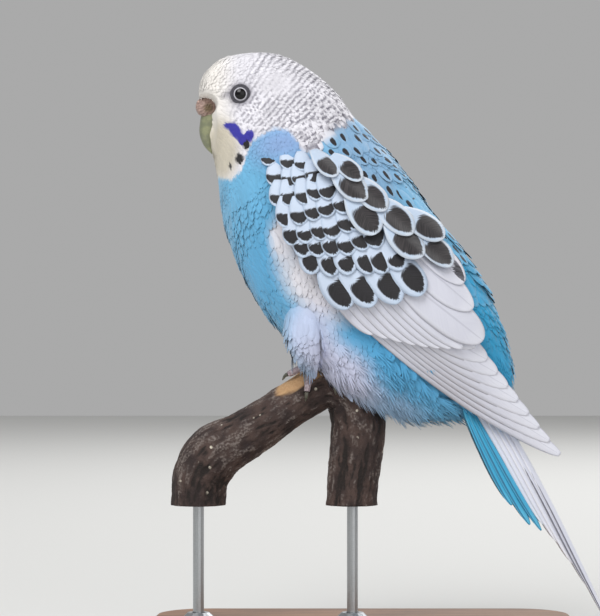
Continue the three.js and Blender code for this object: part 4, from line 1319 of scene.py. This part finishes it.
def beaded_ring(name, side, radius, height, thick, beads):
    """A closed ring round the eye's own axis, with small beads along it."""
    angle, points = circle(LID_SIDES), []
    for k, a in enumerate(circle(12)):
        wave = BEAD_HEIGHT * np.cos(beads * angle + math.pi * (k % 2))
        far = radius + thick * math.cos(a) + wave
        out = side * (EYE["y"] + height + thick * math.sin(a) + 0.7 * wave)
        along, up = EYE["x"] + far * np.cos(angle), EYE["z"] + far * np.sin(angle)
        points.append(np.column_stack([along, out, up]))
    found = ring_faces(len(points), LID_SIDES, closed=True)
    return turned_out(mesh_object(name, np.vstack(points), found, lid_finish))


def glass_eye(node):
    off = off_axis(node, EYE["x"], EYE["z"])
    iris = node("Mix RGBA", node("TexNoise", place_on(node), 5.0, 3.0), "#a9a8b2", "#f2f1f6")
    inner = node("Mix RGBA", node("MapRange SMOOTHSTEP", off, 1.36, 1.42), "#030304", "#3b3a44")
    ring = node("Mix RGBA", node("MapRange SMOOTHSTEP", off, 1.47, 1.54), inner, iris)
    return node("Mix RGBA", node("MapRange SMOOTHSTEP", off, 1.74, 1.80), ring, "#1c1b20")


def lid_skin(node):
    grain = node("TexNoise", place_on(node), 3.2, 3.0)
    return node("Mix RGBA", grain, "#232228", "#63616a"), grain


clear = {"specular_ior_level": 0.2, "coat_weight": 0.35, "coat_roughness": 0.02}
eye_finish = finish("glass_eye", glass_eye, roughness=0.12, **clear)
lid_finish = finish("bare_lid_skin", lid_skin, (0.5, 0.2), roughness=0.5)
for side, word in ((-1, "left"), (1, "right")):
    centre = (EYE["x"], side * EYE["y"], EYE["z"])
    on_frame(ball(f"eye_{word}_glass", centre, EYE["r"], eye_finish), "eye", f"eye_{word}")
    for k, lid in enumerate(LIDS):
        on_frame(beaded_ring(f"lid_{word}_{k}", side, *lid), "cere_skin")

# %% [markdown]
# The cere is the bare, fleshy cushion over the bill. Two soft lobes carry the nostrils, and
# this bird's is brown and wrinkled in arcs that run round its nostrils. The wrinkles are real
# relief, since they catch the light.

# %% Cere
CERE = {"at": np.array([-42.7, 0, 145.7]), "lobe": 1.35, "radii": np.array([3.0, 2.45, 2.75])}
NOSTRIL = np.array([-44.6, 2.15, 147.0])
WRINKLE_PITCH = 0.62
CERE_RINGS, CERE_SIDES = 90, 120


def cere_points():
    way = ways_round(CERE_RINGS, CERE_SIDES)
    w = way / CERE["radii"]
    reach = np.zeros(len(way))
    for side in (-1, 1):
        offset = np.array([0, side * CERE["lobe"], 0]) / CERE["radii"]
        ww, wo, oo = (w * w).sum(1), w @ offset, offset @ offset
        reach = np.maximum(reach, (wo + np.sqrt(wo**2 - ww * (oo - 1))) / ww)
    points = way * reach[:, None] + CERE["at"]
    folded = np.column_stack([points[:, 0], np.abs(points[:, 1]), points[:, 2]])
    off = np.linalg.norm(folded - NOSTRIL, axis=1)
    fold = np.sin(off * 2 * math.pi / WRINKLE_PITCH + 1.2 * ripple(folded, 2.4, 31))
    relief = 0.075 * fold * smoothstep(0.55, 1.1, off) - 0.75 * np.exp(-((off / 0.5) ** 2))
    rim = 0.16 * np.exp(-(((off - 0.75) / 0.22) ** 2))
    return points + way * (relief + rim)[:, None]


def cere_skin(node):
    folds = node("TexNoise", place_on(node, (1.0, 1.0, 2.2)), 1.1, 3.0)
    deep = node("MapRange SMOOTHSTEP", folds, 0.3, 0.7)
    pink, olive = (
        node("Mix RGBA", deep, *pair) for pair in (("#8d736b", "#b89d92"), ("#5a4933", "#7c694d"))
    )
    edge = node("MapRange SMOOTHSTEP", off_axis(node, -42.2, 145.3), 0.5, 1.9)
    return node("Mix RGBA", edge, olive, pink), folds


cere_finish = finish("wrinkled_cere_skin", cere_skin, (0.4, 0.2), roughness=0.45)
cere_faces = tube_faces(CERE_RINGS - 2, CERE_SIDES)
cere = mesh_object("cere_cushion", cere_points(), cere_faces, cere_finish)
on_frame(turned_out(cere), "cere_skin", "cere")

# %% [markdown]
# The bill is a short steep hook of horn, olive and grey-green, whose tip is tucked in the chin
# feathers. Fine growth lines run across it. The lower bill is a small scoop inside the hook.

# %% Bill
BILL = [[-41.2, 0, 144.6], [-41.9, 0, 141.6], [-42.5, 0, 138.6], [-42.3, 0, 135.8], [-41.2, 0, 133.2]]
BILL_RADII = [2.8, 2.7, 2.25, 1.35, 0.25]
BILL_RINGS, BILL_SIDES = 70, 56
HORN_BUMP = (0.3, 0.2)


def horn(low, high):
    """Layered horn between two colours."""

    def build(node):
        lines = node("TexNoise", place_on(node, (0.5, 0.5, 2.6)), 1.4, 4.0)
        mottle = node("TexNoise", place_on(node), 0.5, 3.0)
        colour = node("Mix RGBA", node("MapRange SMOOTHSTEP", mottle, 0.35, 0.65), low, high)
        return node("Mix RGBA", node("Math MULTIPLY", lines, 0.5), colour, "#6f7657"), lines

    return build


olive_horn = horn("#7d8069", "#9a9c79")
bill_finish = finish("bill_horn_olive", olive_horn, HORN_BUMP, roughness=0.35, coat_weight=0.3)
hook_points = tube_points(BILL, BILL_RADII, BILL_RINGS, BILL_SIDES)
hook = mesh_object("bill_hook", hook_points, tube_faces(BILL_RINGS, BILL_SIDES), bill_finish)
on_frame(turned_out(hook), "bill_horn", "bill_upper")
scoop = ball("bill_scoop", (-39.0, 0, 137.6), (2.4, 2.5, 3.1), bill_finish)
on_frame(scoop, "bill_horn", "bill_lower")

# %% [markdown]
# Feet and claws. Two toes point forwards and two back, as a parrot's do. Their solids are a good
# cast already, so a finer skin is drawn over each: the solid is turned into small even cells,
# smoothed, and given a scaly finish. Claws are dark horn with a slight gloss.


# %% Feet and claws
def drawn_over(name, node, cell, rounds, material):
    """A finer and smoother copy of one solid, as a new piece."""
    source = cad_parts[node]
    mesh = source.data.copy()
    mesh.transform(source.matrix_world)
    piece = linked(name, mesh)
    cells = piece.modifiers.new("cells", "REMESH")
    cells.mode, cells.voxel_size = "VOXEL", cell * MM
    soft = piece.modifiers.new("soft", "SMOOTH")
    soft.factor, soft.iterations = 0.5, rounds
    evaluated = piece.evaluated_get(bpy.context.evaluated_depsgraph_get())
    fine = bpy.data.meshes.new_from_object(evaluated)
    piece.modifiers.clear()
    piece.data = fine
    fine.materials.clear()
    fine.materials.append(material)
    fine.shade_smooth()
    return piece


def scaly_skin(node):
    place = place_on(node)
    off = node("TexVoronoi", place, 1.5)
    colour = node("Mix RGBA", node("MapRange SMOOTHSTEP", off, 0.25, 0.6), "#b7adb4", "#8a7f88")
    flush = node("Math MULTIPLY", node("TexNoise", place, 0.4, 3.0), 0.4)
    return node("Mix RGBA", flush, colour, "#c9a9a4"), node("Math SUBTRACT", 1.0, off)


foot_finish = finish("scaly_foot_skin", scaly_skin, (0.8, 0.3), roughness=0.55)
claw_finish = finish("dark_claw_horn", horn("#3d393b", "#59524f"), HORN_BUMP, roughness=0.3)
for word in ("left", "right"):
    foot = drawn_over(f"foot_{word}_skin", f"foot_{word}", 0.24, 3, foot_finish)
    on_frame(foot, "foot_skin", f"foot_{word}")
    for toe in ("inner_front", "outer_front", "outer_back", "inner_back"):
        node_name = f"claw_{word}_{toe}"
        claw = drawn_over(f"{node_name}_horn", node_name, 0.14, 2, claw_finish)
        on_frame(claw, "claw_horn", node_name)

# %% [markdown]
# The branch is real wood: dark brown bark with long grey ridges and pale flecks, and a tan patch
# under the bird where the bark has worn away. The ridges are modelled with noise that is
# stretched along the limb. Both limbs are sawn level for the stand.

# %% Branch
BARK_RINGS, BARK_SIDES = 330, 132


def bark_noise(run, around, along, seed):
    """Noise round one ring of the limb, run millimetres along it."""
    turns = zip(np.cos(circle(BARK_SIDES)), np.sin(circle(BARK_SIDES)))
    places = [Vector((c * around + seed, s * around, run * along)) for c, s in turns]
    return np.array([noise.fractal(place, 0.9, 2.1, 4) for place in places])


def bark_mesh():
    """The bark's points, and for each how high its ridge is and how worn it is."""
    steps = np.linspace(0, 1, 2001)
    kept = np.where(along_curve(BRANCH, steps)[:, 2] >= SAWN)[0]
    rows = along_curve(BRANCH, np.linspace(steps[kept[0]], steps[kept[-1]], BARK_RINGS))
    length = np.append(0, np.cumsum(np.linalg.norm(np.diff(rows[:, :3], axis=0), axis=1)))
    c, s = np.cos(circle(BARK_SIDES))[:, None], np.sin(circle(BARK_SIDES))[:, None]
    points, ridges, worn_away = [], [], []
    rings = zip(hoops(rows, np.array([0.0, 1.0, 0.0])), rows[:, 3], length)
    for (centre, across, other), radius, run in rings:
        out = c * across + s * other
        coarse, fine = bark_noise(run, 2.0, 0.07, 3.1), bark_noise(run, 7.0, 0.32, 9.7)
        perched = np.exp(-(((centre + radius * out)[:, 0] + 16.5) / 7.5) ** 4)
        perched *= smoothstep(0.1, 0.75, out[:, 2]) * (centre[2] > 55)
        worn = smoothstep(0.35, 0.6, perched + 0.25 * coarse)
        relief = (0.42 * coarse + 0.20 * fine) * (1 - 0.75 * worn) - 0.22 - 0.1 * worn
        points.append(centre + (radius + relief)[:, None] * out)
        ridges.append((coarse + fine) / 2)
        worn_away.append(worn)
    points = np.array(points)
    points[0, :, 2] = points[-1, :, 2] = SAWN
    points[1:-1, :, 2] = np.maximum(points[1:-1, :, 2], SAWN + 0.02)
    return points.reshape(-1, 3), np.concatenate(ridges), np.concatenate(worn_away)


def bark(node):
    ridge, worn = (node("Attribute", attribute_name=name, out="Fac") for name in ("ridge", "worn"))
    place = place_on(node)
    mottle, grain = node("TexNoise", place, 0.16, 5.0), node("TexNoise", place, 1.6, 4.0)
    brown = node("Mix RGBA", node("MapRange SMOOTHSTEP", mottle, 0.3, 0.7), "#2c2120", "#4f3e38")
    grey = node("Mix RGBA", grain, "#6a605b", "#928882")
    high = node("MapRange SMOOTHSTEP", ridge, 0.02, 0.4)
    raised = node("Math MULTIPLY", high, node("MapRange SMOOTHSTEP", grain, 0.35, 0.65))
    colour = node("Mix RGBA", node("Math MULTIPLY", raised, 0.7), brown, grey)
    # the deepest grooves of the relief are painted near black: this is painted shade in the grooves
    groove_shade = node("MapRange SMOOTHSTEP", ridge, -0.05, -0.45)
    colour = node("Mix RGBA", groove_shade, colour, "#1f1714")
    flecks = node("MapRange SMOOTHSTEP", node("TexVoronoi", place, 0.34), 0.17, 0.1)
    pale = node("Math MULTIPLY", flecks, node("MapRange SMOOTHSTEP", mottle, 0.5, 0.6))
    colour = node("Mix RGBA", pale, colour, "#d5cdbc")
    wood = node("Mix RGBA", grain, "#a98159", "#c9a57c")
    return node("Mix RGBA", worn, colour, wood), grain


bark_finish = finish("weathered_bark", bark, (0.6, 0.6), roughness=0.85)
bark_points, ridges, worn_away = bark_mesh()
branch = mesh_object("branch_bark", bark_points, tube_faces(BARK_RINGS, BARK_SIDES), bark_finish)
store(branch.data, "ridge", ridges)
store(branch.data, "worn", worn_away)
on_frame(turned_out(branch), "bark", "perch_left_limb", "perch_limb", "perch_right_limb")

# %% [markdown]
# The stand is what a museum would add: a planed hardwood block with two steel rods and their
# collars. Its solids are simple enough to stay, and only take better finishes.


# %% Stand finishes
def oiled_wood(node):
    streaks = {"Vector": place_on(node, (0.03, 0.5, 0.5)), "Scale": 1.2, "Detail": 6.0}
    grain = node("TexNoise", named={**streaks, "Distortion": 0.6})
    pores = node("TexNoise", place_on(node, (0.2, 3.0, 3.0)), 1.4, 2.0)
    colour = node("Mix RGBA", node("MapRange SMOOTHSTEP", grain, 0.3, 0.7), "#6b4a33", "#93694a")
    dark = node("Math MULTIPLY", node("MapRange SMOOTHSTEP", pores, 0.55, 0.7), 0.5)
    return node("Mix RGBA", dark, colour, "#44301f"), pores


def brushed_steel(node):
    lines = node("TexNoise", place_on(node, (1.0, 1.0, 14.0)), 0.8, 2.0)
    return node("Mix RGBA", lines, "#9da0a3", "#c3c6c8"), lines


wood_finish = finish("oiled_hardwood", oiled_wood, (0.15, 0.2), roughness=0.5)
steel_finish = finish("brushed_steel", brushed_steel, (0.08, 0.1), metallic=1.0, roughness=0.35)
STEEL = ("stand_rod_left", "stand_rod_right", "stand_collar_left", "stand_collar_right")
for name, material in {"stand_base": wood_finish, **dict.fromkeys(STEEL, steel_finish)}.items():
    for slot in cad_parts[name].material_slots:
        slot.material = material

# %% [markdown]
# Two more coats lie over the fine one. The mantle's feathers are broader, and many end in a
# black dash. The belly's are loose plumes of a few strands each, which hang over the branch.

# %% Mantle and belly coats
MANTLE_STOPS = (0, 0.2, 0.4, 0.6, 0.75, 0.87, 0.95, 1)
MANTLE_MARK = (0.74, 0.20, 0.34)
MANTLE_PLAIN_SHARE, MANTLE_MARKED_TO = 0.12, 11.0

mantle_finish = vane_finish("mantle_vane", None, "#b4cfe6", "#131115", "#2c2a31")
stops = [(s, float(vane_width(np.array(s), 0.4)), 0.0) for s in MANTLE_STOPS]
mantle_leaf = leaf_object("mantle_leaf", stops, WHOLE)
own_map = mantle_leaf.data.uv_layers.new(name="vane")
for corner, loop in zip(own_map.data, mantle_leaf.data.loops):
    s, across, _ = mantle_leaf.data.attributes["leaf"].data[loop.vertex_index].vector
    corner.uv = (across, s)
count = len(mantle_leaf.data.vertices)
store(mantle_leaf.data, "mark", np.tile(MANTLE_MARK, (count, 1)))
store(mantle_leaf.data, "aside", np.zeros(count))

store(skin_mesh, "reach", (6.4 + 1.2 * smoothstep(8, 11, station_of)) * MM)
store(skin_mesh, "spread", np.full(len(x), 4.0 * MM))
mantle = grown_coat("mantle_feathers", mantle_leaf, 3.3, 0.06, 0.12, 5, "in_mantle", mantle_finish)
shade = numbers_of(mantle.data, "shade")
store(mantle.data, "tone", shade)
far = np.interp(MANTLE_MARKED_TO, steps, middle_run)
plain = (shade < MANTLE_PLAIN_SHARE) | (numbers_of(mantle.data, "run") > far)
store(mantle.data, "aside", np.where(plain, NO_MARK[3], 0.0))
dress(mantle, "blue_feathers")

store(skin_mesh, "reach", np.full(len(x), 7.5 * MM))
store(skin_mesh, "spread", np.full(len(x), 1.8 * MM))
dress(grown_coat("belly_plumes", plume, 1.7, 0.10, 0.30, 6, "in_fringe"), "blue_feathers")

# %% Leave out the prototypes and take the CAD box
for helper in (leaf, plume, mantle_leaf):
    bpy.data.objects.remove(helper)

low, high = cad_bounds
